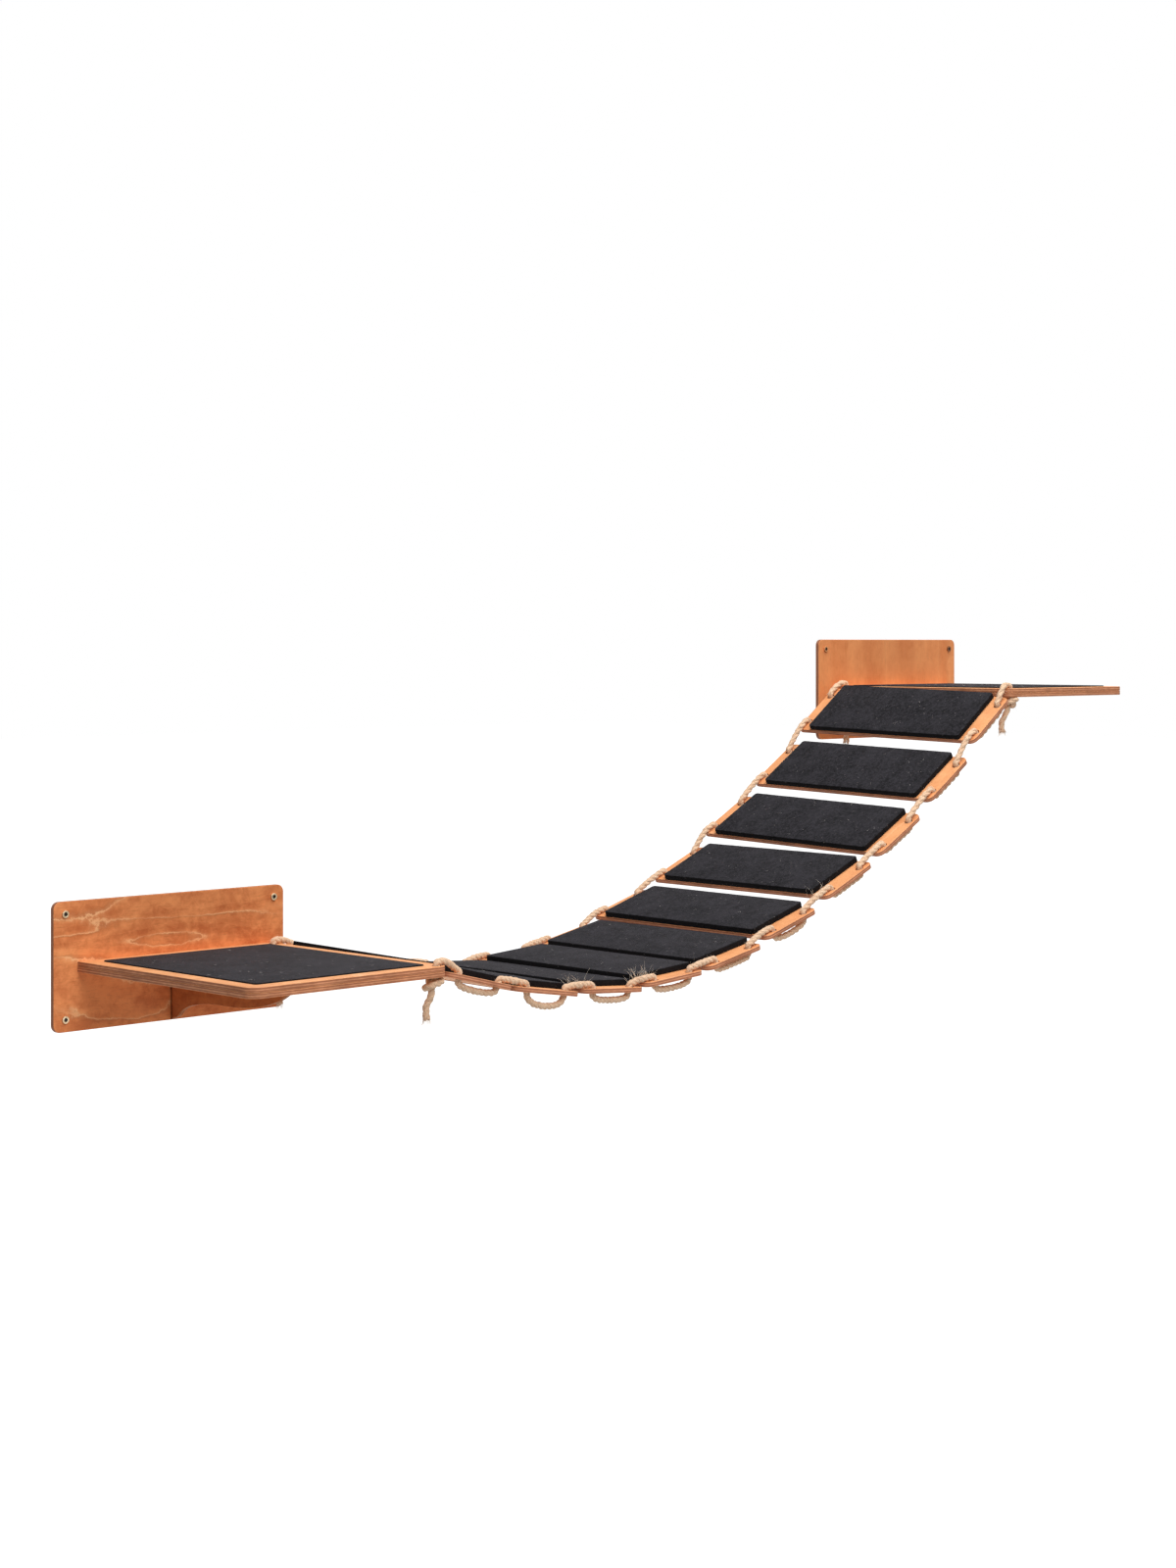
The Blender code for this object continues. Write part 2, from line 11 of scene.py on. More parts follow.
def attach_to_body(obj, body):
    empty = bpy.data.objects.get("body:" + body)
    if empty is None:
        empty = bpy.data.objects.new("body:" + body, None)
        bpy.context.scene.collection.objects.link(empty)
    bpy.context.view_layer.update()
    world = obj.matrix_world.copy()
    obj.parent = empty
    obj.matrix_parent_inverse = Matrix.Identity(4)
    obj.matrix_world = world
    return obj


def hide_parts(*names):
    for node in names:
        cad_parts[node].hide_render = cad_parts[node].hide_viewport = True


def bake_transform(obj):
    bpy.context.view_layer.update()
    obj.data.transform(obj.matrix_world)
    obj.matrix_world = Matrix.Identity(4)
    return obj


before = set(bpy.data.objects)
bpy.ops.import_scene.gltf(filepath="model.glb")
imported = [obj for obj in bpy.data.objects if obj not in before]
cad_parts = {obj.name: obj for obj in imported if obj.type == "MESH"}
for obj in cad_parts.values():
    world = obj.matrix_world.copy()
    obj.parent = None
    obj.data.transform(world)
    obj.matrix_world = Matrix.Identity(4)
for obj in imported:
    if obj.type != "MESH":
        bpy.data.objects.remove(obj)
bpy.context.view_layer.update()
ROOT = "shelves_and_ropes"

# Sizes in metres, as in the part. GAP is left between pieces that touch.
GAP, WALL_RELIEF = 0.0003, 0.0004
PLYWOOD, BOARD_ROUND, PLATE_ROUND = 0.006, 0.0005, 0.0006
PLATE_WIDTH, PLATE_HEIGHT, PLATE_CORNER = 0.330, 0.150, 0.009
SCREW_SIDE_INSET, SCREW_END_INSET, SCREW_HOLE_DIA = 0.0155, 0.0145, 0.0051
HEAD_DIA, HEAD_TALL, HEAD_ROUND, SHANK_DIA = 0.0087, 0.0018, 0.0004, 0.0045
SOCKET_ACROSS, SOCKET_DEEP, SOCKET_FLOOR_DIA = 0.0044, 0.0015, 0.0062
PLATFORM_WIDTH, PLATFORM_DEPTH, PLATFORM_CORNER = 0.280, 0.330, 0.015
PLATFORM_SHIFT, UNDERSIDE = 0.0075, -0.0072
RIM_WIDTH, WINDOW_CORNER, INLAY = 0.020, 0.004, 0.0075
TENON_WIDTH, TENON_SPACING = 0.060, 0.150
BRACKET_REACH, BRACKET_DROP = 0.235, 0.067
BACK_TENON_LOW, BACK_TENON_TALL = 0.032, 0.024
TOP_TENON_START, TOP_TENON_LONG = 0.060, 0.070
SLAT_WIDTH, SLAT_LENGTH, SLAT_CORNER, SLAT_FRONT_MARGIN = 0.102, 0.320, 0.010, 0.002
FELT, FELT_INSET, FELT_CHAMFER = 0.0075, 0.0245, 0.0035
HOLE_DIA, HOLE_END, HOLE_SIDE, SHELF_HOLE_INSET = 0.0106, 0.0088, 0.020, 0.012
FIRST_GAP, FIRST_RISE, LAST_GAP, LAST_RISE = 0.0022, 0.0009, 0.0015, 0.0004
WIDEST_GAP, HIGHEST_STEP = 0.0256, 0.0120
ROPE_DIA, ROPE_CLEAR, ROPE_ARCH, LOOP_SLACK, KNOT_GAP = 0.008, 0.0004, 0.0007, 0.0106, 0.0007
# Each slat's tilt along the bridge and roll along its own length, from the low shelf to the high one
slat_tilts = [math.radians(angle) for angle in
              (-13.8, -8.7, -3.9, 4.1, 11.5, 16.6, 22.6, 28.4, 32.4, 35.8)]
slat_rolls = [math.radians(angle) for angle in
              (0.9, 0.7, 0, 0.25, 0.4, 0.7, 0.6, 2.45, 2.3, 2.1)]
# The gaps and steps between slats, as shares of WIDEST_GAP and HIGHEST_STEP, and the slack of the loops
gap_shares = (0.301, 0.274, 0.211, 0.395, 0.435, 0.920, 0.694, 0.998, 0.871)
step_shares = (-0.092, 0.142, 0.433, 0.184, 0.621, 0.571, 0.735, 0.593, 0.995)
slack_shares = (0.45, 0.95, 0.45, 0.42, 0.15, 0.50, 0, 0, 0, 0)
# A tightened overhand knot, in rope widths, and each of the four's hand, turn and points of its tail
knot_shares = (
    (0, 0, 1.06), (-0.05, -0.15, 0.49), (-0.1, -0.32, -0.09), (-0.23, -0.59, -0.6),
    (-0.12, -1.03, -0.98), (0.3, -1.35, -1.25), (0.88, -1.4, -1.37), (1.41, -1.15, -1.33),
    (1.71, -0.67, -1.15), (1.67, -0.13, -0.91), (1.3, 0.28, -0.69), (0.75, 0.46, -0.56),
    (0.17, 0.59, -0.45), (-0.4, 0.61, -0.31), (-0.88, 0.31, -0.12), (-1.08, -0.2, 0.07),
    (-0.95, -0.76, 0.2), (-0.52, -1.17, 0.21), (0.04, -1.29, 0.07), (0.53, -1.1, -0.2),
    (0.76, -0.73, -0.6), (0.73, -0.44, -1.12),
)
knot_tails = {
    "front_left": (1, math.radians(195),
                   ((-0.05, 0, -1.2), (-0.5, 0.48, -2.7), (-0.45, 0.45, -4.3))),
    "front_right": (1, math.radians(90),
                    ((-0.3, 0.15, -1.2), (-0.8, 0.75, -2.9), (-0.75, 0.72, -4.5))),
    "back_left": (-1, math.radians(165),
                  ((-0.2, -0.3, -1.4), (0, -0.4, -3.4), (0.31, -0.51, -5.74))),
    "back_right": (-1, math.radians(75),
                   ((0.1, 0.4, -1.5), (0.1, 0.7, -4.2), (-0.04, 0.92, -7.14))),
}
# The bracket's lower edge up to its round nose, as shares of its reach and drop
bracket_edge = ((0, 1.0), (0.06, 0.925), (0.0915, 0.825), (0.135, 0.745), (0.183, 0.695),
                (0.272, 0.639), (0.383, 0.612), (0.468, 0.612))
plate_front = -PLYWOOD
rim_bottom = UNDERSIDE + PLYWOOD + GAP
platform_top = rim_bottom + PLYWOOD
platform_left = PLATFORM_SHIFT - PLATFORM_WIDTH / 2
platform_right = PLATFORM_SHIFT + PLATFORM_WIDTH / 2
slat_front = plate_front - PLATFORM_DEPTH + SLAT_FRONT_MARGIN
slat_middle = slat_front + SLAT_LENGTH / 2
front_row, back_row = slat_front + HOLE_END, slat_front + SLAT_LENGTH - HOLE_END
hole_reach = SLAT_WIDTH / 2 - HOLE_SIDE
rope_radius = ROPE_DIA / 2
rope_lift = rope_radius + ROPE_CLEAR

rng = random.Random(7)


# Materials

class Nodes:
    """Short hand for building the nodes of a material or a world."""

    def __init__(self, name, owners=bpy.data.materials, bare=False):
        self.owner = owners.new(name)
        self.owner.use_nodes = True
        self.tree = self.owner.node_tree
        if bare:
            self.tree.nodes.clear()

    def add(self, kind, inputs=None, **settings):
        node = self.tree.nodes.new("ShaderNode" + kind)
        for key, value in settings.items():
            setattr(node, key, value)
        for key, value in (inputs or {}).items():
            self.feed(node.inputs[key], value)
        return node

    def feed(self, socket, value):
        if isinstance(value, bpy.types.NodeSocket):
            self.tree.links.new(value, socket)
        else:
            socket.default_value = value

    def math(self, operation, a, b=0.0, clamp=False):
        return self.add("Math", {0: a, 1: b}, operation=operation, use_clamp=clamp).outputs[0]

    def times(self, a, b, clamp=False):
        return self.math("MULTIPLY", a, b, clamp)

    def plus(self, a, b, clamp=False):
        return self.math("ADD", a, b, clamp)

    def minus(self, a, b, clamp=False):
        return self.math("SUBTRACT", a, b, clamp)

    def vector(self, operation, a, b):
        return self.add("VectorMath", {0: a, 1: b}, operation=operation).outputs[0]

    def stretch(self, place, shares):
        return self.vector("MULTIPLY", place, shares)

    def mix(self, factor, a, b):
        node = self.add("Mix", data_type="RGBA", blend_type="MIX", clamp_factor=True)
        for socket, value in ((node.inputs[0], factor), (node.inputs[6], a), (node.inputs[7], b)):
            self.feed(socket, (*value, 1) if isinstance(value, tuple) and len(value) == 3 else value)
        return node.outputs[2]

    def noise(self, where, scale, detail=3.0, rough=0.55, distortion=0.0):
        node = self.add("TexNoise", {"Vector": where, "Scale": scale, "Detail": detail,
                                     "Roughness": rough, "Distortion": distortion})
        return node.outputs["Fac"]

    def remap(self, value, low, high, to_low=0.0, to_high=1.0):
        node = self.add("MapRange", {"Value": value, "From Min": low, "From Max": high,
                                     "To Min": to_low, "To Max": to_high})
        node.interpolation_type = "SMOOTHSTEP"
        return node.outputs[0]

    def bump(self, height, strength, distance):
        return self.add("Bump", {"Height": height, "Strength": strength, "Distance": distance}).outputs[0]

    def finish(self, color, roughness, normal=None, **others):
        """Feeds the shader's sockets. In the names of the others, _ stands for a space."""
        sockets = self.tree.nodes["Principled BSDF"].inputs
        self.feed(sockets["Base Color"], color)
        self.feed(sockets["Roughness"], roughness)
        for key, value in others.items():
            self.feed(sockets[key.replace("_", " ")], value)
        if normal is not None:
            self.feed(sockets["Normal"], normal)
        return self.owner


def scaled(color, share):
    return tuple(channel * share for channel in color)


def seeded_place(n):
    """The piece's own coordinates, moved by its own seed so that no two boards match."""
    place = n.add("TexCoord")
    seed = n.add("Attribute", attribute_name="seed").outputs["Fac"]
    shift = n.add("CombineXYZ", {axis: n.times(seed, reach)
                                 for axis, reach in (("X", 3.7), ("Y", 3.7 * 0.61), ("Z", 3.7 * 0.37))})
    return place, n.vector("ADD", place.outputs["Object"], shift.outputs[0])


def wood(name, dark, light, pale, edge_dark, edge_light, contour, figure, mottle, burn,
         grain="X", bands=0.0, gloss=0.2, shade_at_plate_join=False):
    """Stained birch plywood: mottled stain, pale contour figure, fine pores, and layered edges."""
    n = Nodes(name)
    place, where = seeded_place(n)
    split = n.add("SeparateXYZ", {0: place.outputs["Normal"]})
    side = n.minus(1.0, n.remap(n.math("ABSOLUTE", split.outputs[2]), 0.35, 0.75), True)
    run = n.stretch(where, (0.25, 1.0, 1.0) if grain == "X" else (1.0, 0.25, 1.0))
    # Rotary-cut figure: pale jagged lines along the levels of a slow field, each with a darker side
    field = n.noise(run, 13.0, 1.0, 0.4, 0.5)
    wobble = n.noise(where, 48.0, 4.0, 0.7)
    contours = n.plus(n.times(field, figure), n.times(wobble, 0.42))
    saw = n.math("FRACT", contours)
    off = n.math("ABSOLUTE", n.minus(saw, 0.5))
    line = n.plus(n.remap(off, 0.0, 0.035, 0.75, 0.0), n.remap(off, 0.0, 0.12, 0.25, 0.0))
    shade_side = n.remap(saw, 0.50, 0.80, 1.0, 0.0)
    dark_side = n.times(n.remap(saw, 0.30, 0.48), n.remap(saw, 0.48, 0.50, 1.0, 0.0))
    keep = n.remap(n.noise(where, 10.0, 2.0), 0.38, 0.56, 0.2, 1.0)
    line = n.times(n.times(line, keep), contour, True)
    dark_side = n.times(n.times(dark_side, keep), 0.45 * contour, True)
    # Stain: streaks along the grain, blotches and small spots
    streak = n.noise(run, 80.0, 5.0, 0.7, 0.3)
    blotch = n.noise(where, 15.0, 4.0, 0.6, 0.8)
    small = n.noise(where, 85.0, 4.0, 0.7, 0.6)
    tone = n.plus(n.times(streak, 0.26), n.times(blotch, 0.42))
    tone = n.plus(tone, n.times(small, 0.32))
    spread = 0.08 / mottle
    tone = n.remap(tone, 0.5 - spread, 0.5 + spread)
    if bands:
        wave = n.noise(n.stretch(where, (1.0, 0.06, 1.0)), 24.0, 2.0, 0.5)
        tone = n.mix(bands, tone, n.remap(wave, 0.38, 0.60))
    shade = n.times(shade_side, 0.18 * contour)
    tone = n.plus(n.times(tone, 0.82), shade, True)
    color = n.mix(tone, dark, light)
    color = n.mix(dark_side, color, scaled(dark, 0.7))
    color = n.mix(line, color, pale)
    pore_shape = (60.0, 1100.0, 60.0) if grain == "X" else (1100.0, 60.0, 60.0)
    pores = n.noise(n.stretch(where, pore_shape), 1.0, 3.0, 0.6)
    color = n.mix(n.remap(pores, 0.56, 0.74, 0.0, 0.4), color, scaled(dark, 0.62))
    # Edges: the layers show as lines along the board, a light one on top, scorched in places
    height = n.add("SeparateXYZ", {0: place.outputs["Object"]}).outputs[2]
    drift = n.times(n.minus(n.noise(where, 60.0, 2.0), 0.5), 0.10)
    level = n.plus(n.plus(n.math("DIVIDE", height, PLYWOOD), 0.5), drift)
    middle = n.remap(n.math("ABSOLUTE", n.minus(level, 0.50)), 0.07, 0.14, 0.85, 0.0)
    top = n.remap(level, 0.84, 0.95)
    low = n.remap(level, 0.20, 0.08, 0.0, 0.6)
    plies = n.plus(n.plus(middle, top), low, True)
    flecks = n.noise(n.stretch(where, (1.0, 1.0, 4.0)), 110.0, 3.0, 0.6)
    plies = n.plus(plies, n.remap(flecks, 0.35, 0.65, -0.22, 0.22), True)
    edge = n.mix(plies, edge_dark, edge_light)
    scorch = n.remap(n.noise(where, 22.0, 3.0), 0.46, 0.66, 0.0, burn)
    edge = n.mix(scorch, edge, scaled(edge_dark, 0.55))
    color = n.mix(side, color, edge)
    # Painted shade: the end of the board that meets the wall plate darkens over its first few millimetres,
    # for the shade in the join.
    if shade_at_plate_join:
        end = n.add("SeparateXYZ", {0: place.outputs["Object"]}).outputs[0]
        reach = n.plus(end, n.times(n.minus(small, 0.5), 0.004))
        color = n.mix(n.remap(reach, 0.0010, 0.0050, 0.85, 0.0), color, scaled(dark, 0.2))
    flat = n.minus(1.0, side)
    ripple = n.plus(n.times(n.times(pores, flat), 0.6),
                    n.times(n.times(plies, side), 0.3))
    return n.finish(color, n.remap(streak, 0.3, 0.7, 0.50, 0.66), n.bump(ripple, 0.3, 0.00025),
                    Specular_IOR_Level=gloss)


def felt(name, dark, light, sheen):
    """Matted needle felt: tangled fibres, faint marling, lint specks and a soft nap."""
    n = Nodes(name)
    where = seeded_place(n)[1]
    tangle = n.noise(where, 900.0, 4.0, 0.7, 1.2)
    clump = n.noise(where, 210.0, 4.0, 0.75, 0.8)
    worn = n.noise(where, 30.0, 3.0, 0.5)
    tone = n.plus(n.times(tangle, 0.35), n.times(clump, 0.65))
    color = n.mix(n.remap(tone, 0.42, 0.60), dark, light)
    color = n.mix(n.remap(worn, 0.38, 0.66, 0.0, 0.22), color, scaled(light, 1.7))
    dots = n.add("TexVoronoi", {"Vector": where, "Scale": 260.0, "Randomness": 1.0})
    speck = n.times(n.remap(dots.outputs["Distance"], 0.10, 0.32, 1.0, 0.0),
                   n.remap(n.noise(where, 300.0, 1.0), 0.60, 0.68))
    color = n.mix(n.times(speck, 0.36), color, (0.34, 0.30, 0.28))
    height = n.plus(n.times(tangle, 0.5), n.times(clump, 0.8))
    return n.finish(color, n.remap(clump, 0.3, 0.7, 0.88, 1.0), n.bump(height, 0.8, 0.0006),
                    Specular_IOR_Level=0.1, Sheen_Weight=sheen, Sheen_Roughness=0.35,
                    Sheen_Tint=(0.66, 0.62, 0.66, 1.0))


def jute(name, dark, light, bright):
    """Spun jute yarn: streaky fibres that run along each strand's own twist."""
    n = Nodes(name)
    spun = n.add("Attribute", attribute_name="spun").outputs["Vector"]
    fibres = n.noise(spun, 1.0, 4.0, 0.65, 0.3)
    thick = n.noise(n.stretch(spun, (0.3, 0.3, 0.5)), 1.0, 2.0, 0.5)
    place = n.add("TexCoord").outputs["Object"]
    patch = n.noise(place, 55.0, 3.0, 0.6)
    tone = n.plus(n.times(fibres, 0.65), n.times(thick, 0.35))
    color = n.mix(n.remap(tone, 0.34, 0.62), dark, light)
    color = n.mix(n.remap(fibres, 0.60, 0.78, 0.0, 0.6), color, bright)
    color = n.mix(n.remap(patch, 0.35, 0.65, 0.25, 0.0), color, dark)
    return n.finish(color, n.remap(fibres, 0.3, 0.7, 0.75, 0.95), n.bump(tone, 0.9, 0.0004),
                    Specular_IOR_Level=0.25, Sheen_Weight=0.25, Sheen_Roughness=0.5,
                    Sheen_Tint=(1.0, 0.84, 0.70, 1.0))


def fuzz(name, color, variation):
    """Loose single fibres."""
    n = Nodes(name)
    patch = n.noise(n.add("TexCoord").outputs["Object"], 240.0, 2.0)
    return n.finish(n.mix(n.remap(patch, 0.3, 0.7), color, variation), 0.8, Specular_IOR_Level=0.2)


def metal(name, color, worn):
    """Brass plating, slightly brushed and worn, with painted shade inside the socket."""
    n = Nodes(name)
    place = n.add("TexCoord").outputs["Object"]
    ring = n.noise(n.stretch(place, (900.0, 900.0, 2600.0)), 1.0, 3.0)
    spot = n.noise(place, 420.0, 3.0, 0.6)
    axes = n.add("SeparateXYZ", {0: place})
    squares = [n.math("POWER", axes.outputs[k], 2.0) for k in (0, 1)]
    radius = n.math("SQRT", n.plus(*squares))
    # Painted shade: the socket's inside is coloured near black and made less metallic.
    below = n.remap(axes.outputs[2], 0.0017, 0.0012)
    inside = n.times(n.remap(radius, 0.0024, 0.0028, 1.0, 0.0), below)
    tint = n.mix(n.remap(spot, 0.35, 0.7), color, worn)
    return n.finish(n.mix(inside, tint, (0.020, 0.012, 0.008)), n.remap(ring, 0.3, 0.7, 0.34, 0.52),
                    n.bump(ring, 0.12, 0.0001), Metallic=n.remap(inside, 0.0, 1.0, 0.85, 0.2))


plate_wood = wood("plate_wood", (0.56, 0.150, 0.046), (0.92, 0.345, 0.125), (0.97, 0.52, 0.25),
                  (0.30, 0.11, 0.055), (0.50, 0.22, 0.12), contour=1.0, figure=4.2, mottle=0.66, burn=0.3)
plate_wood_upright = wood("plate_wood_upright", (0.72, 0.235, 0.078), (0.94, 0.39, 0.15),
                          (0.97, 0.50, 0.22), (0.30, 0.11, 0.055), (0.50, 0.22, 0.12), grain="Y",
                          contour=0.25, figure=2.2, mottle=0.6, burn=0.5, bands=0.45)
shelf_wood = wood("shelf_wood", (0.66, 0.26, 0.098), (0.93, 0.46, 0.20), (0.96, 0.62, 0.36),
                  (0.42, 0.150, 0.070), (0.78, 0.36, 0.19), contour=0.3, figure=2.5, mottle=0.5, burn=0.40)
# Painted shade: the bracket is the same plywood as the plates, coloured much darker for the shade under its
# platform, and darker still at its end against the wall plate.
shaded_bracket_wood = wood("shaded_bracket_wood", (0.34, 0.09, 0.028), (0.56, 0.18, 0.058), (0.76, 0.34, 0.14),
                    (0.30, 0.10, 0.04), (0.50, 0.20, 0.08), contour=0.5, figure=3.2, mottle=0.6, burn=0.3,
                    gloss=0.05, shade_at_plate_join=True)
slat_wood = wood("slat_wood", (0.68, 0.265, 0.100), (0.90, 0.425, 0.185), (0.95, 0.58, 0.32),
                 (0.42, 0.155, 0.080), (0.78, 0.36, 0.20), contour=0.35, figure=2.6, mottle=0.5, burn=0.45)
felt_top = felt("charcoal_felt", (0.005, 0.005, 0.006), (0.030, 0.028, 0.033), 0.15)
# Painted shade: a darker copy of the same felt for the pads' cut sides, as if they stood in shade beside the
# lit tops.
felt_shaded_side = felt("charcoal_felt_shaded_side", (0.004, 0.0035, 0.004), (0.011, 0.010, 0.011), 0.03)
rope_yarn = jute("jute_yarn", (0.60, 0.345, 0.20), (0.95, 0.70, 0.49), (0.99, 0.87, 0.73))
rope_fuzz = fuzz("jute_fuzz", (0.98, 0.90, 0.78), (0.90, 0.70, 0.52))
lint_fuzz = fuzz("felt_lint", (0.62, 0.57, 0.53), (0.24, 0.22, 0.22))
pale_brass = metal("pale_brass", (0.56, 0.42, 0.25), (0.76, 0.62, 0.42))
# Painted shade: the next two are darker copies of the same brass for the right plate's screws, the darkest
# for its right-hand pair.
shaded_brass = metal("shaded_brass", (0.46, 0.20, 0.08), (0.62, 0.30, 0.13))
deep_shaded_brass = metal("deep_shaded_brass", (0.16, 0.065, 0.03), (0.28, 0.12, 0.05))


# Boards

CORNERS = ((-1, -1), (1, -1), (1, 1), (-1, 1))


def rounded(half_x, half_y, radii, steps=10):
    """Corner points of a rectangle, one radius each, counter-clockwise from the lower left."""
    points = []
    for index, (side_x, side_y) in enumerate(CORNERS):
        radius = radii[index]
        if not radius:
            points.append((side_x * half_x, side_y * half_y))
            continue
        for step in range(steps + 1):
            angle = math.pi + (index + step / steps) * math.pi / 2
            points.append((side_x * (half_x - radius) + radius * math.cos(angle),
                           side_y * (half_y - radius) + radius * math.sin(angle)))
    return points


def circle(x, y, diameter, sides=28):
    return [(x + diameter / 2 * math.cos(2 * math.pi * k / sides),
             y + diameter / 2 * math.sin(2 * math.pi * k / sides)) for k in range(sides)]


def box(x, y, width, height):
    return [(x + sx * width / 2, y + sy * height / 2) for sx, sy in CORNERS]


def shifted(points, x, y):
    return [(px + x, py + y) for px, py in points]


def new_object(name, data):
    """An object that is in the scene."""
    item = bpy.data.objects.new(name, data)
    bpy.context.scene.collection.objects.link(item)
    return item


def sheet_mesh(name, outlines, thick, edge, rounds=2):
    """A flat board as a closed mesh, with its edges eased by a small round."""
    curve = bpy.data.curves.new(name, "CURVE")
    curve.dimensions = "2D"
    curve.fill_mode = "BOTH"
    curve.extrude = thick / 2 - edge
    curve.bevel_depth = edge
    curve.bevel_resolution = rounds
    curve.offset = -edge
    for outline in outlines:
        spline = curve.splines.new("POLY")
        spline.points.add(len(outline) - 1)
        for point, (x, y) in zip(spline.points, outline):
            point.co = (x, y, 0, 1)
        spline.use_cyclic_u = True
    guide = new_object(name, curve)
    bpy.context.view_layer.update()
    mesh = bpy.data.meshes.new_from_object(guide.evaluated_get(bpy.context.evaluated_depsgraph_get()))
    bpy.data.objects.remove(guide, do_unlink=True)
    shape = bmesh.new()
    shape.from_mesh(mesh)
    bmesh.ops.remove_doubles(shape, verts=shape.verts, dist=1e-6)
    shape.to_mesh(mesh)
    shape.free()
    mesh.name = name
    return mesh


def dress(name, mesh, matrix, materials, body, node, crease=40):
    """Puts a mesh into the scene, with its own seed, as a piece that rides on a body."""
    indices = [polygon.material_index for polygon in mesh.polygons]
    mesh.materials.clear()
    for material in materials:
        mesh.materials.append(material)
    mesh.polygons.foreach_set("material_index", indices)
    mesh.shade_smooth()
    mesh.set_sharp_from_angle(angle=math.radians(crease))
    seed = mesh.attributes.new("seed", "FLOAT", "POINT")
    seed.data.foreach_set("value", [rng.random()] * len(mesh.vertices))
    piece = new_object(name, mesh)
    piece.matrix_world = matrix
    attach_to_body(piece, body)
    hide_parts(node)
    return piece


def board(name, outlines, edge, matrix, material, body, node):
    """A plywood board as a piece."""
    mesh = sheet_mesh(name, outlines, PLYWOOD, edge)
    shade_evenly(dress(name, mesh, matrix, [material], body, node))


def shade_evenly(piece):
    """Keeps large flat faces flat where they meet small rounded ones."""
    weights = piece.modifiers.new("even_faces", "WEIGHTED_NORMAL")
    weights.keep_sharp = True


def upright(x, y, z):
    return Matrix.Translation((x, y, z)) @ Matrix.Rotation(math.pi / 2, 4, "X")


def tenons():
    return (PLATFORM_SHIFT - TENON_SPACING / 2, PLATFORM_SHIFT + TENON_SPACING / 2)


def screw_mesh():
    """Button head with an eased rim and a hexagon socket, and its shank."""
    hexagon = circle(0, 0, SOCKET_ACROSS * 2 / math.sqrt(3), 6)
    ring = sheet_mesh("ring", [circle(0, 0, HEAD_DIA, 40), hexagon], HEAD_TALL, HEAD_ROUND, 3)
    shape = bmesh.new()
    shape.from_mesh(ring)
    bmesh.ops.translate(shape, verts=shape.verts, vec=(0, 0, HEAD_TALL / 2))
    for diameter, top, bottom in ((SOCKET_FLOOR_DIA, HEAD_TALL - SOCKET_DEEP, 0.0),
                                  (SHANK_DIA, 0.0001, -(PLYWOOD - WALL_RELIEF + GAP))):
        middle = Matrix.Translation((0, 0, (top + bottom) / 2))
        bmesh.ops.create_cone(shape, cap_ends=True, segments=28, radius1=diameter / 2,
                              radius2=diameter / 2, depth=top - bottom, matrix=middle)
    mesh = bpy.data.meshes.new("wall_screw")
    shape.to_mesh(mesh)
    shape.free()
    return mesh


def wall_plate(side, origin, material):
    """A shelf's wall plate with its four screws."""
    x0, z0 = origin
    half_x, half_z = PLATE_WIDTH / 2, PLATE_HEIGHT / 2
    screw_x, screw_z = half_x - SCREW_SIDE_INSET, half_z - SCREW_END_INSET
    screws = [(sx * screw_x, sz * screw_z) for sx, sz in CORNERS]
    outlines = [rounded(half_x, half_z, (PLATE_CORNER,) * 4)]
    outlines += [circle(x, z, SCREW_HOLE_DIA) for x, z in screws]
    outlines += [box(x, UNDERSIDE + PLYWOOD / 2, TENON_WIDTH + 2 * GAP, PLYWOOD + 2 * GAP)
                 for x in tenons()]
    outlines.append(box(0, UNDERSIDE - BACK_TENON_LOW + BACK_TENON_TALL / 2,
                        PLYWOOD + 2 * GAP, BACK_TENON_TALL + 2 * GAP))
    board(side + "_plate_board", outlines, PLATE_ROUND, upright(x0, -PLYWOOD / 2, z0),
          material, ROOT, side + "_wall_plate")
    # The right plate's screws take the darker brasses, which are painted shade, darkest on its right-hand
    # pair.
    brasses = (pale_brass,) * 4 if side == "left" else (shaded_brass, deep_shaded_brass, deep_shaded_brass, shaded_brass)
    for number, ((x, z), brass) in enumerate(zip(screws, brasses), 1):
        turn = Matrix.Rotation(math.radians(17 + 41 * number), 4, "Z")
        shade_evenly(dress("%s_screw_%d" % (side, number), screw_mesh(),
                           upright(x0 + x, plate_front - GAP, z0 + z) @ turn, [brass], ROOT,
                           "%s_wall_screw_%d" % (side, number)))


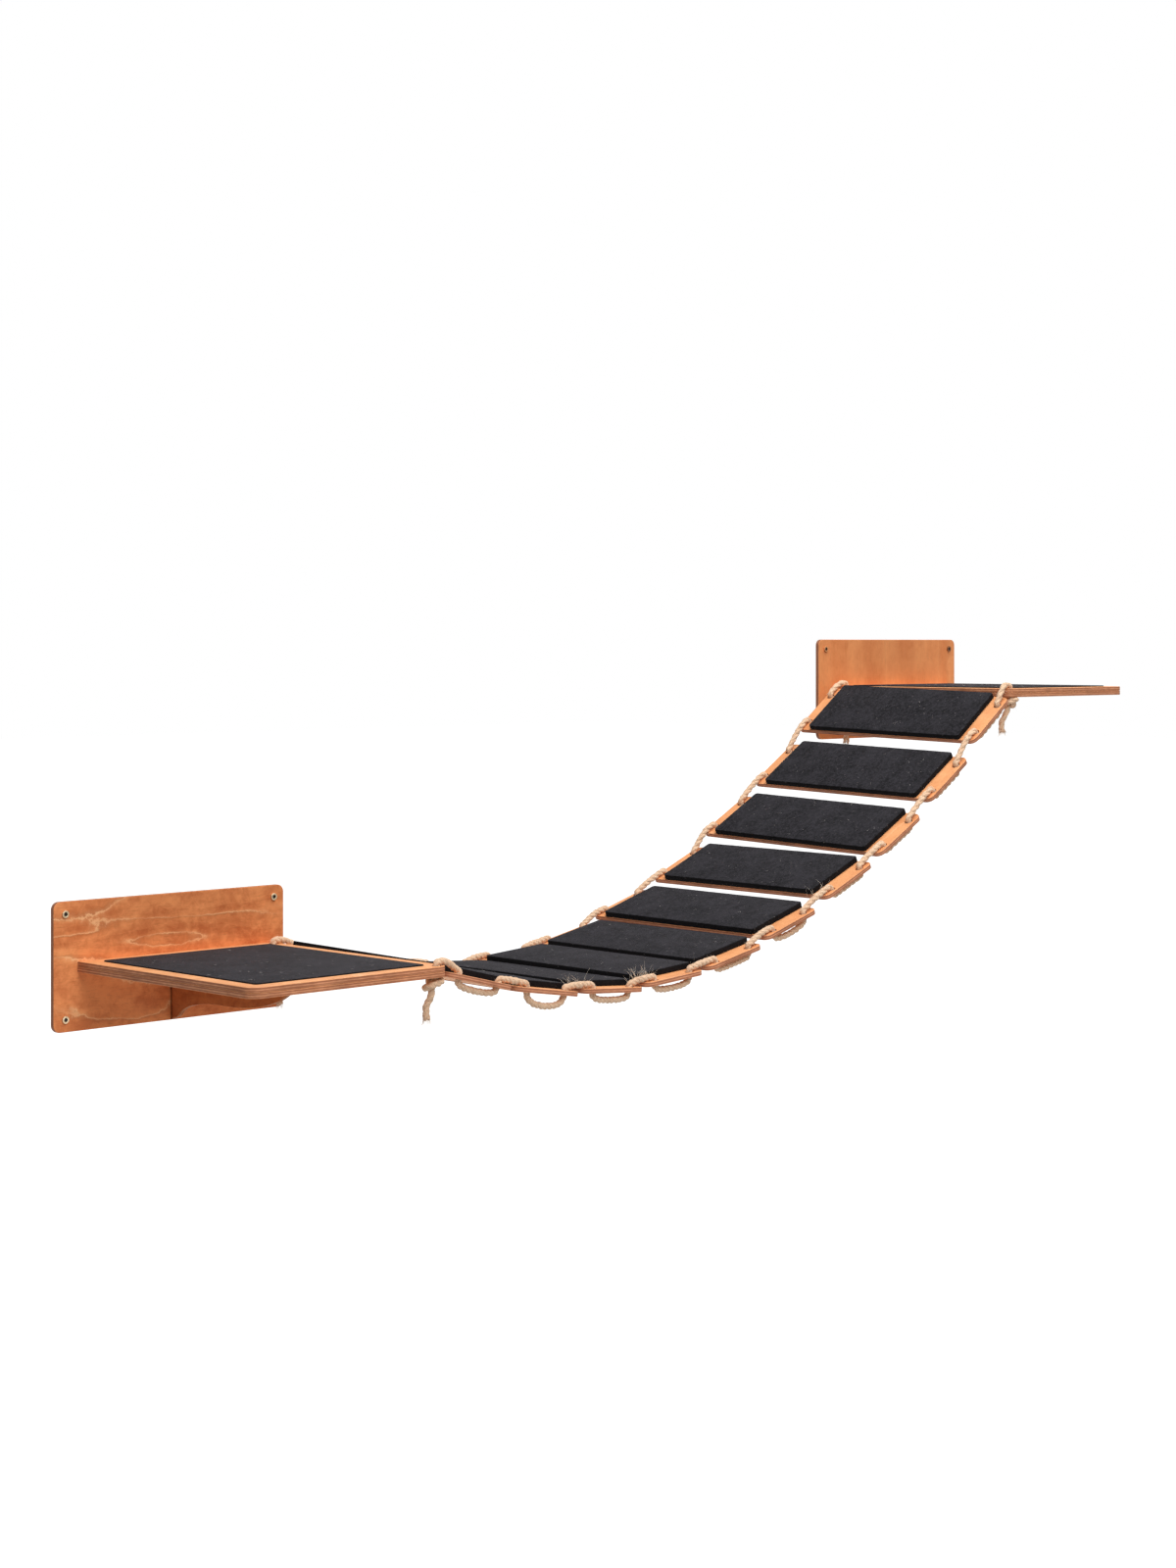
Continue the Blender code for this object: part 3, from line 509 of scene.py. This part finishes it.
def platform(side, origin):
    """A shelf's base board with its two tenons, its rim and the felt in the rim's window."""
    x0, z0 = origin
    depth, back = PLATFORM_DEPTH - GAP, plate_front - GAP
    middle = back - depth / 2
    corners = (PLATFORM_CORNER, PLATFORM_CORNER, 0, 0)
    frame_line = shifted(rounded(PLATFORM_WIDTH / 2, depth / 2, corners), PLATFORM_SHIFT, middle)
    hole_x = platform_left + SHELF_HOLE_INSET if side == "right" else platform_right - SHELF_HOLE_INSET
    holes = [circle(hole_x, y, HOLE_DIA) for y in (front_row, back_row)]
    body_line = frame_line[:-1]
    for x in reversed(tenons()):
        body_line += [(x + TENON_WIDTH / 2, back), (x + TENON_WIDTH / 2, -WALL_RELIEF),
                      (x - TENON_WIDTH / 2, -WALL_RELIEF), (x - TENON_WIDTH / 2, back)]
    body_line.append(frame_line[-1])
    slot = box(0, plate_front - TOP_TENON_START - TOP_TENON_LONG / 2,
               PLYWOOD + 2 * GAP, TOP_TENON_LONG + 2 * GAP)
    board(side + "_base_board", [body_line, slot] + holes, BOARD_ROUND,
          Matrix.Translation((x0, 0, z0 + UNDERSIDE + PLYWOOD / 2)), shelf_wood, ROOT,
          side + "_platform_base")
    half_x, half_y = PLATFORM_WIDTH / 2 - RIM_WIDTH, depth / 2 - RIM_WIDTH
    window = shifted(rounded(half_x, half_y, (WINDOW_CORNER,) * 4, 6), PLATFORM_SHIFT, middle)
    board(side + "_rim_frame", [frame_line, window] + holes, PLATE_ROUND,
          Matrix.Translation((x0, 0, z0 + rim_bottom + PLYWOOD / 2)), shelf_wood, ROOT,
          side + "_platform_rim")
    inlay = rounded(half_x - GAP, half_y - GAP, (WINDOW_CORNER,) * 4, 6)
    matrix = Matrix.Translation((x0 + PLATFORM_SHIFT, middle, z0 + rim_bottom + INLAY / 2))
    pad(side + "_inlay_felt", inlay, INLAY, matrix, ROOT, side + "_platform_felt", SHELF_LINT)


def bracket(side, origin):
    """The upright rib under a platform, with a tenon into the plate and one into the base board."""
    x0, z0 = origin
    lower = smooth([Vector((BRACKET_REACH * a, -BRACKET_DROP * b, 0)) for a, b in bracket_edge], 5)
    nose, drop = BRACKET_REACH * bracket_edge[-1][0], BRACKET_DROP * bracket_edge[-1][1]
    nose_steps = 18
    for step in range(1, nose_steps + 1):
        angle = math.pi / 2 * step / nose_steps
        lower.append(Vector((nose + (BRACKET_REACH - nose) * math.sin(angle), -drop * math.cos(angle), 0)))
    inside = -PLYWOOD + WALL_RELIEF
    rise = PLYWOOD + GAP - WALL_RELIEF
    high, low = -BACK_TENON_LOW + BACK_TENON_TALL + GAP, -BACK_TENON_LOW + GAP
    start, end = TOP_TENON_START, TOP_TENON_START + TOP_TENON_LONG
    outline = [(point.x, point.y) for point in lower]
    outline[0] = (GAP, outline[0][1])
    outline += [(end, 0), (end, rise), (start, rise), (start, 0), (GAP, 0), (GAP, high),
                (inside, high), (inside, low), (GAP, low)]
    matrix = (Matrix.Translation((x0, plate_front, z0 + UNDERSIDE - GAP))
              @ Matrix.Rotation(-math.pi / 2, 4, "Z") @ Matrix.Rotation(math.pi / 2, 4, "X"))
    board(side + "_bracket_rib", [outline], BOARD_ROUND, matrix, shaded_bracket_wood, ROOT,
          side + "_bracket")


def shelf(side, origin, plate_material):
    """Everything that one shelf is made of."""
    wall_plate(side, origin, plate_material)
    platform(side, origin)
    bracket(side, origin)


# Felt

HAIR_STEPS, THIRDS = 4, (0, 2.094, 4.189)
NAP, LINT, SHADED_SIDE = 0, 1, 2    # a pad's materials
FELT_ROUND, CUT_STEP, CUT_WANDER = 0.0011, 0.006, 0.00035
SHELF_LINT, SLAT_LINT, LINT_INSET = 80, 20, (0.006, 0.014)
LINT_LENGTHS, LINT_RADII = (0.0015, 0.005), (0.00008, 0.00022)
SIDE_FIBRES, SIDE_LENGTHS, SIDE_RADIUS, SHORTEST_RUN = 60, (0.0006, 0.0016), 0.00004, 0.004
SUNK = (0.00005, 0.0003)    # how deep the fibres start in the top and in the sides


def hair(shape, start, direction, length, radius, bend, material):
    """One loose fibre: a thin bent three-sided tube that tapers."""
    direction = direction.normalized()
    side = direction.orthogonal().normalized()
    other = direction.cross(side)
    rings = []
    for step in range(HAIR_STEPS + 1):
        t = step / HAIR_STEPS
        sag = (side * bend[0] + other * bend[1]) * (length * t * t)
        center = start + direction * (length * t) + sag
        size = radius * (1 - 0.75 * t)
        rings.append([shape.verts.new(center + (side * math.cos(a) + other * math.sin(a)) * size)
                      for a in THIRDS])
    for low, high in zip(rings, rings[1:]):
        for k in range(3):
            face = shape.faces.new((low[k], low[(k + 1) % 3], high[(k + 1) % 3], high[k]))
            face.material_index = material
    shape.faces.new(reversed(rings[0])).material_index = material
    shape.faces.new(rings[-1]).material_index = material
    return [vertex for ring in rings for vertex in ring]


def wavy_outline(points):
    """The outline cut into short runs whose points wander a little, as a knife leaves it."""
    result = []
    for (x, y), (nx, ny) in zip(points, points[1:] + points[:1]):
        length = math.hypot(nx - x, ny - y)
        count = max(1, round(length / CUT_STEP))
        for k in range(count):
            t = k / count
            wander = CUT_WANDER * (rng.random() - 0.5) if k else 0
            result.append((x + (nx - x) * t - (ny - y) / length * wander,
                           y + (ny - y) * t + (nx - x) / length * wander))
    return result


def lint(shape, thick, count):
    """Pale fibres that lie on the top of a pad."""
    xs = [vertex.co.x for vertex in shape.verts]
    ys = [vertex.co.y for vertex in shape.verts]
    low_x, high_x, low_y, high_y = min(xs), max(xs), min(ys), max(ys)
    for _ in range(count):
        x = rng.uniform(low_x + LINT_INSET[0], high_x - LINT_INSET[0])
        y = rng.uniform(low_y + LINT_INSET[1], high_y - LINT_INSET[1])
        angle = rng.uniform(0, 2 * math.pi)
        direction = Vector((math.cos(angle), math.sin(angle), rng.uniform(0.02, 0.25)))
        hair(shape, Vector((x, y, thick / 2 - SUNK[0])), direction, rng.uniform(*LINT_LENGTHS),
             rng.uniform(*LINT_RADII), (rng.uniform(-0.5, 0.5), rng.uniform(-0.3, 0.1)), LINT)


def frayed_sides(shape, outline, thick):
    """Short dark fibres along the cut sides of a pad."""
    for _ in range(SIDE_FIBRES):
        k = rng.randrange(len(outline))
        (x, y), (nx, ny) = outline[k], outline[(k + 1) % len(outline)]
        t = rng.random()
        out = Vector((ny - y, x - nx, 0))
        if out.length < SHORTEST_RUN:
            continue
        out.normalize()
        height = rng.uniform(-0.3, 0.48) * thick
        start = Vector((x + (nx - x) * t, y + (ny - y) * t, height)) - out * SUNK[1]
        stray = Vector((rng.uniform(-1, 1), rng.uniform(-1, 1), rng.uniform(-0.3, 0.9))) * 0.6
        hair(shape, start, out + stray, rng.uniform(*SIDE_LENGTHS), SIDE_RADIUS,
             (rng.uniform(-0.4, 0.4), rng.uniform(-0.4, 0.4)), NAP)


def pad(name, outline, thick, matrix, body, node, lint_count):
    """A cut felt pad with soft edges, a little lint on top and loose fibres along its sides."""
    mesh = sheet_mesh(name, [wavy_outline(outline)], thick, FELT_ROUND, 3)
    shape = bmesh.new()
    shape.from_mesh(mesh)
    lint(shape, thick, lint_count)
    frayed_sides(shape, outline, thick)
    shape.to_mesh(mesh)
    shape.free()
    # The cut sides take the darker felt, which is painted shade.
    for polygon in mesh.polygons:
        if polygon.material_index == NAP and polygon.normal.z < 0.75:
            polygon.material_index = SHADED_SIDE
    piece = dress(name, mesh, matrix, (felt_top, lint_fuzz, felt_shaded_side), body, node, 60)


# Slats

def slat_places():
    """Centre of each slat's board in X and Z, its directions and its angles, and the high shelf's place."""
    places = []
    corner = Vector((platform_right + FIRST_GAP, UNDERSIDE + FIRST_RISE))
    for index, (tilt, roll) in enumerate(zip(slat_tilts, slat_rolls)):
        along = Vector((math.cos(tilt), math.sin(tilt)))
        up = Vector((-math.sin(tilt), math.cos(tilt)))
        if index:
            mean = (tilt + slat_tilts[index - 1]) / 2
            gap, step = WIDEST_GAP * gap_shares[index - 1], HIGHEST_STEP * step_shares[index - 1]
            corner = corner + Vector((gap * math.cos(mean) - step * math.sin(mean),
                                      gap * math.sin(mean) + step * math.cos(mean)))
        places.append((corner + along * SLAT_WIDTH / 2 + up * PLYWOOD / 2, along, up, tilt, roll))
        corner = corner + along * SLAT_WIDTH
    return places, (corner.x + LAST_GAP - platform_left, corner.y + LAST_RISE - UNDERSIDE)


def section_at(place, row):
    """Centre of a slat's board in X and Z where a rope passes through it, with its directions."""
    center, along, up, _, roll = place
    return center + up * math.sin(roll) * (row - slat_middle), along, up


def felt_outline():
    """A slat's felt, with its four corners cut and the cut slightly blunted."""
    half_x, half_y = SLAT_WIDTH / 2, SLAT_LENGTH / 2 - FELT_INSET
    outline = []
    for sx, sy in CORNERS:
        a = Vector((sx * half_x, sy * (half_y - FELT_CHAMFER)))
        c = Vector((sx * (half_x - FELT_CHAMFER), sy * half_y))
        b = Vector((sx * half_x, sy * half_y)) * 0.55 + (a + c) * 0.225
        arc = [a * (1 - t) ** 2 + b * 2 * t * (1 - t) + c * t * t for t in (0, 0.2, 0.4, 0.6, 0.8, 1)]
        outline += [(p.x, p.y) for p in (arc if sx == sy else reversed(arc))]
    return outline


def slat(name, place):
    """One slat: its board and its felt."""
    center, _, _, tilt, roll = place
    matrix = (Matrix.Translation((center.x, slat_middle, center.y)) @ Matrix.Rotation(-tilt, 4, "Y")
              @ Matrix.Rotation(roll, 4, "X"))
    outlines = [rounded(SLAT_WIDTH / 2, SLAT_LENGTH / 2, (SLAT_CORNER,) * 4)]
    outlines += [circle(side * hole_reach, row - slat_middle, HOLE_DIA)
                 for side in (-1, 1) for row in (front_row, back_row)]
    board(name + "_wood", outlines, BOARD_ROUND, matrix, slat_wood, name, name + "_board")
    on_top = Matrix.Translation((0, 0, PLYWOOD / 2 + GAP + FELT / 2))
    pad(name + "_pad", felt_outline(), FELT, matrix @ on_top, name, name + "_felt", SLAT_LINT)


# Ropes

SQUEEZE, KNOT_PRESS = 0.80, 0.15    # a rope's turns press into each other in its knots
ON_SHELF = 0.006                    # a shelf's own piece of rope stops this far inside its edge
CURVE_STEPS, RING, SIDES = 10, 0.0011, 9            # a strand has SIDES points round it every RING
LAY, LOOSER_LAY, YARN_LAY = 0.0215, 0.55, 0.011     # the length of a full turn, and how it grows
OPEN_LENGTH, TIP_RINGS = 0.016, 7                   # where the strands open, and the ends fray
STRAND = rope_radius * 0.66
HELIX = rope_radius * 1.07 - STRAND
BEND_OUT, BEND_UP, BEND_END = 0.26 * rope_radius, 0.74 * rope_radius, 1.26 * rope_radius
# Fibres per metre, their lengths, thicknesses and spread: short ones, and a few long ones
FUZZ = ((620, 0.0015, 0.0055, 0.00005, 0.00009, 0.5), (60, 0.006, 0.012, 0.00005, 0.00010, 0.9))
FRAY_COUNT, FRAY = 110, (0.004, 0.012, 0.00006, 0.00012, 0.35)
TUFT = (0.007, 0.018, 0.00013, 0.00021, 0.6)
front_tufts = {4: 14, 5: 6, 6: 24, 7: 16, 12: 7, 13: 6}


def smooth(points, steps):
    """Points along a Catmull-Rom curve through the given ones."""
    ends = [points[0] * 2 - points[1], *points, points[-1] * 2 - points[-2]]
    result = []
    for index in range(1, len(ends) - 2):
        a, b, c, d = ends[index - 1:index + 3]
        for step in range(steps):
            t = step / steps
            result.append((b * 2 + (c - a) * t + (a * 2 - b * 5 + c * 4 - d) * t * t
                           + (b * 3 - a - c * 3 + d) * t * t * t) / 2)
    result.append(points[-1].copy())
    return result


def hull(points):
    """The upper outline of points that run from left to right, as a taut rope takes it."""
    line = []
    for point in points:
        while len(line) > 1:
            a, b = line[-2], line[-1]
            if (b.x - a.x) * (point.y - a.y) - (b.y - a.y) * (point.x - a.x) < 0:
                break
            line.pop()
        line.append(point)
    return line


def round_corner(corner, up, outward):
    """Places of the rope's middle as it bends over a board's corner."""
    return [corner + (up * math.cos(a) + outward * math.sin(a)) * rope_lift
            for a in (0, math.radians(15), math.radians(30))]


def over_the_gap(low, high):
    """The rope from one board's hole, over both boards' edges, into the next board's hole."""
    hole_a, edge_a, along_a, up_a = low
    hole_b, edge_b, along_b, up_b = high
    over = [hole_a + along_a * BEND_END + up_a * rope_lift] + round_corner(edge_a, up_a, along_a)
    over += list(reversed(round_corner(edge_b, up_b, -along_b)))
    over.append(hole_b - along_b * BEND_END + up_b * rope_lift)
    taut = hull(over)
    route = [hole_a + along_a * BEND_OUT + up_a * BEND_UP]
    for start, end in zip(taut, taut[1:]):
        route.append(start)
        if (end - start).length > 2 * ROPE_DIA:
            lift = Vector((start.y - end.y, end.x - start.x)).normalized() * ROPE_ARCH
            route.append((start + end) / 2 + lift)
    return route + [taut[-1], hole_b - along_b * BEND_OUT + up_b * BEND_UP]


def under_the_slat(index, section):
    """The rope's loop under a slat, from hole to hole."""
    center, along, up = section
    slack = LOOP_SLACK * slack_shares[index]
    left, right = center - along * hole_reach, center + along * hole_reach
    below = -PLYWOOD / 2
    route = [left, left + along * BEND_OUT + up * (below - BEND_UP)]
    for offset in (BEND_END, 0.45 * hole_reach, hole_reach, 1.55 * hole_reach, 2 * hole_reach - BEND_END):
        away = offset / hole_reach - 1
        route.append(left + along * offset + up * (below - rope_lift - slack * (1 - abs(away) ** 3)))
    return route + [right - along * BEND_OUT + up * (below - BEND_UP), right]


def knot_route(key, hole_x, row, underside):
    """The tightened knot under a shelf, drawn in a little more than the part's so that its turns press."""
    pitch = (ROPE_DIA + KNOT_GAP) * SQUEEZE
    top = max(z for _, _, z in knot_shares[3:])
    center = Vector((hole_x, row, underside - top * pitch - rope_radius))
    hand, turn, tail = knot_tails[key]
    knot = [center + Vector((hand * x * math.cos(turn) - y * math.sin(turn),
                             hand * x * math.sin(turn) + y * math.cos(turn),
                             z - KNOT_PRESS * (z - knot_shares[0][2]))) * pitch
            for x, y, z in knot_shares]
    return knot + [knot[-1] + Vector(offset) * (ROPE_DIA + KNOT_GAP) for offset in tail]


def crossing(run, x):
    """Where a run passes over x, counted in its control points."""
    for k, (a, b) in enumerate(zip(run, run[1:])):
        if a.x <= x <= b.x:
            return k + (x - a.x) / max(b.x - a.x, 1e-9)
    return len(run) / 2


def rope_stops(row, places, high):
    """Holes and edges that the rope passes over, two for each gap, with each board's directions."""
    flat, up = Vector((1, 0)), Vector((0, 1))
    high_left = high[0] + platform_left
    low_x, high_x = platform_right - SHELF_HOLE_INSET, high_left + SHELF_HOLE_INSET
    low_z, high_z = platform_top, platform_top + high[1]
    stops = [(Vector((low_x, low_z)), Vector((platform_right, low_z)), flat, up)]
    for place in places:
        center, along, normal = section_at(place, row)
        surface = center + normal * PLYWOOD / 2
        for sign in (-1, 1):
            stops.append((surface + along * hole_reach * sign, surface + along * SLAT_WIDTH / 2 * sign,
                          along, normal))
    stops.append((Vector((high_x, high_z)), Vector((high_left, high_z)), flat, up))
    return stops


def rope_route(side, row, places, high):
    """The rope's control points, and the places along them where it is cut into pieces."""
    stops = rope_stops(row, places, high)
    low_x, high_x = stops[0][0].x, stops[-1][0].x
    middle = (UNDERSIDE + platform_top) / 2
    last = len(places)
    points = list(reversed(knot_route(side + "_left", low_x, row, UNDERSIDE)))
    points.append(Vector((low_x, row, middle)))
    cuts = []
    for index in range(last + 1):
        run = over_the_gap(stops[2 * index], stops[2 * index + 1])
        edge_a, edge_b = stops[2 * index][1].x, stops[2 * index + 1][1].x
        cut_x = {0: edge_a - ON_SHELF, last: edge_b + ON_SHELF}.get(index, (edge_a + edge_b) / 2)
        cuts.append(len(points) + crossing(run, cut_x))
        points += [Vector((p.x, row, p.y)) for p in run]
        if index < last:
            run = under_the_slat(index, section_at(places[index], row))
            cuts.append(len(points) + len(run) // 2)
            points += [Vector((p.x, row, p.y)) for p in run]
    points.append(Vector((high_x, row, middle + high[1])))
    points += knot_route(side + "_right", high_x, row, UNDERSIDE + high[1])
    return points, cuts


def evenly(points, marks):
    """The same line with points RING apart, and the places of the marks along it."""
    lengths = [0.0]
    for a, b in zip(points, points[1:]):
        lengths.append(lengths[-1] + (b - a).length)
    count = round(lengths[-1] / RING)
    spacing = lengths[-1] / count
    result, k = [], 0
    for step in range(count + 1):
        target = min(step * spacing, lengths[-1])
        while k < len(lengths) - 2 and lengths[k + 1] < target:
            k += 1
        t = (target - lengths[k]) / max(lengths[k + 1] - lengths[k], 1e-9)
        result.append(points[k].lerp(points[k + 1], t))
    return result, [round(lengths[mark] / spacing) for mark in marks]


def turning_frames(points):
    """A side direction at each point that never spins about the line."""
    last = len(points) - 1
    tangents = [(points[min(k + 1, last)] - points[max(k - 1, 0)]).normalized() for k in range(last + 1)]
    side = tangents[0].orthogonal().normalized()
    frames = []
    for tangent in tangents:
        side = (side - tangent * side.dot(tangent)).normalized()
        frames.append((tangent, side, tangent.cross(side)))
    return frames


class Line:
    """A rope's middle line in even steps, with the turn of its strands at each step."""

    def __init__(self, points, phases):
        self.points, self.phases = points, phases
        self.frames = turning_frames(points)
        self.last = len(points) - 1
        self.turns, total = [], 0.0
        for k in range(self.last + 1):
            self.turns.append(total)
            # The strands lie looser towards the high shelf
            total += RING / (LAY * (1 + LOOSER_LAY * min(1, max(0, 3 * k / self.last - 1.2))))

    def looseness(self, k):
        """How far the strands have opened: fully at the high end, a little at the low one."""
        to_end = min(k, self.last - k) * RING
        return max(0.0, 1 - to_end / OPEN_LENGTH) * (1.0 if k > self.last / 2 else 0.3)


def add_strand(shape, spun, line, strand, start, end):
    """One of the rope's three strands, between two places of its line."""
    phases, previous = line.phases, None
    for k in range(start, end + 1):
        along = k * RING
        tangent, right, other = line.frames[k]
        loose = line.looseness(k)
        wander = (0.06 * math.sin(along * 410 + phases[strand])
                  + 0.05 * math.sin(along * 1130 + phases[strand + 3]))
        angle = 2 * math.pi * (line.turns[k] + strand / 3) + 0.2 * math.sin(along * 97 + phases[strand + 6])
        helix = HELIX * (1 + wander * 0.6 + loose * (0.5 + 0.35 * strand))
        size = STRAND * (1 + 0.06 * math.sin(along * 760 + phases[strand + 9])) * (1 - 0.3 * loose)
        outward = right * math.cos(angle) + other * math.sin(angle)
        center = line.points[k] + outward * helix
        slope = 2 * math.pi * helix / LAY
        heading = (tangent + (other * math.cos(angle) - right * math.sin(angle)) * slope).normalized()
        width = heading.cross(outward).normalized()
        ring = []
        for j in range(SIDES):
            a = 2 * math.pi * j / SIDES
            vertex = shape.verts.new(center + (outward * math.cos(a) + width * math.sin(a)) * size)
            twist = a - along * 2 * math.pi / YARN_LAY
            vertex[spun] = (6.5 * math.cos(twist), 6.5 * math.sin(twist), along * 130 + strand * 31)
            ring.append(vertex)
        if previous:
            for j in range(SIDES):
                n = (j + 1) % SIDES
                shape.faces.new((previous[j], previous[n], ring[n], ring[j]))
        elif k == 0:
            shape.faces.new(reversed(ring))
        previous = ring
        if k == line.last:
            shape.faces.new(ring)


def add_fibre(shape, spun, local, line, k, looks, toward=None):
    """One loose jute fibre that leaves the rope's surface."""
    shortest, longest, thin, thick, spread = looks
    tangent, right, other = line.frames[k]
    angle = local.uniform(0, 2 * math.pi)
    outward = right * math.cos(angle) + other * math.sin(angle)
    heading = outward * 0.55 + tangent * local.choice((-1, 1)) * local.uniform(0.3, 1.0)
    if toward is not None:
        heading = toward + outward * spread
        outward = (outward + toward * 0.3).normalized()
    start = line.points[k] + outward * rope_radius * 0.8
    bend = (local.uniform(-spread, spread), local.uniform(-spread, spread))
    length, radius = local.uniform(shortest, longest), local.uniform(thin, thick)
    for vertex in hair(shape, start, heading, length, radius, bend, 1):
        vertex[spun] = (angle * 3, angle, 1)


def add_fuzz(shape, spun, local, line, start, end, tufts, opens_left):
    """Loose fibres all over a piece of rope, in tufts where it has them, and at the rope's ends."""
    length = (end - start) * RING
    for per_metre, *looks in FUZZ:
        for _ in range(round(length * per_metre)):
            add_fibre(shape, spun, local, line, local.randint(start, end), looks)
    for _ in range(tufts):
        share = local.uniform(0, 0.25) if opens_left else local.uniform(0.68, 1)
        k = min(end, start + round((end - start) * share))
        add_fibre(shape, spun, local, line, k, TUFT, Vector((0, 0, 1)))
    if start == 0 or end == line.last:
        tip = 0 if start == 0 else line.last
        away = line.frames[tip][0] * (-1 if tip == 0 else 1)
        for _ in range(FRAY_COUNT):
            k = local.randint(*((0, TIP_RINGS) if tip == 0 else (line.last - TIP_RINGS, line.last)))
            add_fibre(shape, spun, local, line, k, FRAY, away)


def attach(piece, index, place, row):
    """Bakes a piece of rope's placement into its mesh; where the rope meets its slat's edge is worked out
    but not used.
    """
    center, along, up = section_at(place, row)
    sign = -1 if index % 2 else 1
    edge = center + along * SLAT_WIDTH / 2 * sign + up * (PLYWOOD / 2 + rope_lift)
    edge = Vector((edge.x, row, edge.y))
    if index % 2:
        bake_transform(piece)
    else:
        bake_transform(piece)


def rope(side, row, places, high):
    """A three-strand rope, cut into pieces over the gaps and under the slats; only its two end pieces ride
    on a body.
    """
    controls, cuts = rope_route(side, row, places, high)
    points, marks = evenly(smooth(controls, CURVE_STEPS), [round(cut * CURVE_STEPS) for cut in cuts])
    local = random.Random(11 if side == "front" else 23)
    line = Line(points, [local.uniform(0, 6.28) for _ in range(12)])
    bounds = [0, *marks, line.last]
    for index, (start, end) in enumerate(zip(bounds, bounds[1:])):
        shape = bmesh.new()
        spun = shape.verts.layers.float_vector.new("spun")
        for strand in range(3):
            add_strand(shape, spun, line, strand, start, end)
        tufts = front_tufts.get(index, 0) if side == "front" else 0
        add_fuzz(shape, spun, local, line, start, end, tufts, index % 2)
        mesh = bpy.data.meshes.new("%s_rope_%02d" % (side, index))
        shape.to_mesh(mesh)
        shape.free()
        mesh.materials.append(rope_yarn)
        mesh.materials.append(rope_fuzz)
        mesh.shade_smooth()
        piece = new_object(mesh.name, mesh)
        if index in (0, len(bounds) - 2):
            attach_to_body(piece, ROOT)
        else:
            attach(piece, index, places[(index - 1) // 2], row)
        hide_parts(side + "_rope")


places, high_shelf = slat_places()
shelf("left", (0, 0), plate_wood)
shelf("right", high_shelf, plate_wood_upright)
for number, slat_place in enumerate(places, 1):
    slat("slat_%02d" % number, slat_place)
rope("front", front_row, places, high_shelf)
rope("back", back_row, places, high_shelf)


# Floor, light and camera

FLOOR_AT, FLOOR_REACH, FLOOR_GREY, WORLD_LIGHT = (0.6, 0, -1.0), 30, (0.8, 0.8, 0.8, 1), 0.24
SENSOR, PHOTO_HEIGHT, FOCAL_PIXELS, HORIZON_ROW = 36, 1600, 2676.5, 656.6
CAMERA_AT, CAMERA_TURN = (-1.8249, -2.5736, 0.3710), math.radians(-44.4)


def sees_white(n):
    """One for rays from the camera and in reflections and glass, none for the rest of the light."""
    rays = n.add("LightPath").outputs
    seen = n.math("MAXIMUM", rays["Is Camera Ray"], rays["Is Glossy Ray"])
    return n.math("MAXIMUM", seen, rays["Is Transmission Ray"])


def lay_floor():
    """A plain pale floor that glows white to the camera."""
    mesh = bpy.data.meshes.new("floor")
    shape = bmesh.new()
    bmesh.ops.create_grid(shape, x_segments=1, y_segments=1, size=FLOOR_REACH)
    shape.to_mesh(mesh)
    shape.free()
    floor = new_object("floor", mesh)
    floor.location = FLOOR_AT
    n = Nodes("floor", bare=True)
    diffuse = n.add("BsdfDiffuse", {"Color": FLOOR_GREY})
    glow = n.add("Emission", {"Strength": sees_white(n)})
    both = n.add("AddShader", {0: diffuse.outputs[0], 1: glow.outputs[0]})
    n.add("OutputMaterial", {"Surface": both.outputs[0]})
    mesh.materials.append(n.owner)


def light_world():
    """Soft plain light from all around, with a white background."""
    n = Nodes("studio", bpy.data.worlds, bare=True)
    bpy.context.scene.world = n.owner
    light, backdrop = [n.add("Background", {"Color": (1, 1, 1, 1), "Strength": strength}).outputs[0]
                       for strength in (WORLD_LIGHT, 1.0)]
    choose = n.add("MixShader", {0: sees_white(n), 1: light, 2: backdrop})
    n.add("OutputWorld", {"Surface": choose.outputs[0]})


def area_light(name, place, target, size, energy):
    lamp = bpy.data.lights.new(name, "AREA")
    lamp.shape = "SQUARE"
    lamp.size = size
    lamp.energy = energy
    holder = new_object(name, lamp)
    holder.location = place
    holder.rotation_euler = (Vector(target) - Vector(place)).to_track_quat("-Z", "Y").to_euler()


def set_camera():
    """A level camera with the lens and the place that were fitted to the photograph."""
    data = bpy.data.cameras.new("camera")
    data.sensor_width = SENSOR
    data.lens = FOCAL_PIXELS * SENSOR / PHOTO_HEIGHT
    data.shift_y = -(PHOTO_HEIGHT / 2 - HORIZON_ROW) / PHOTO_HEIGHT
    data.clip_end = 100
    camera = new_object("camera", data)
    camera.location = CAMERA_AT
    camera.rotation_euler = (math.radians(90), 0, CAMERA_TURN)
    bpy.context.scene.camera = camera


lay_floor()
light_world()
area_light("overhead", (0.9, -0.6, 2.7), (0.7, -0.2, 0.0), 2.0, 62)
area_light("front", (-0.4, -2.6, 2.3), (0.5, -0.1, 0.0), 1.6, 57)
set_camera()
bpy.context.scene.view_settings.view_transform = "Standard"
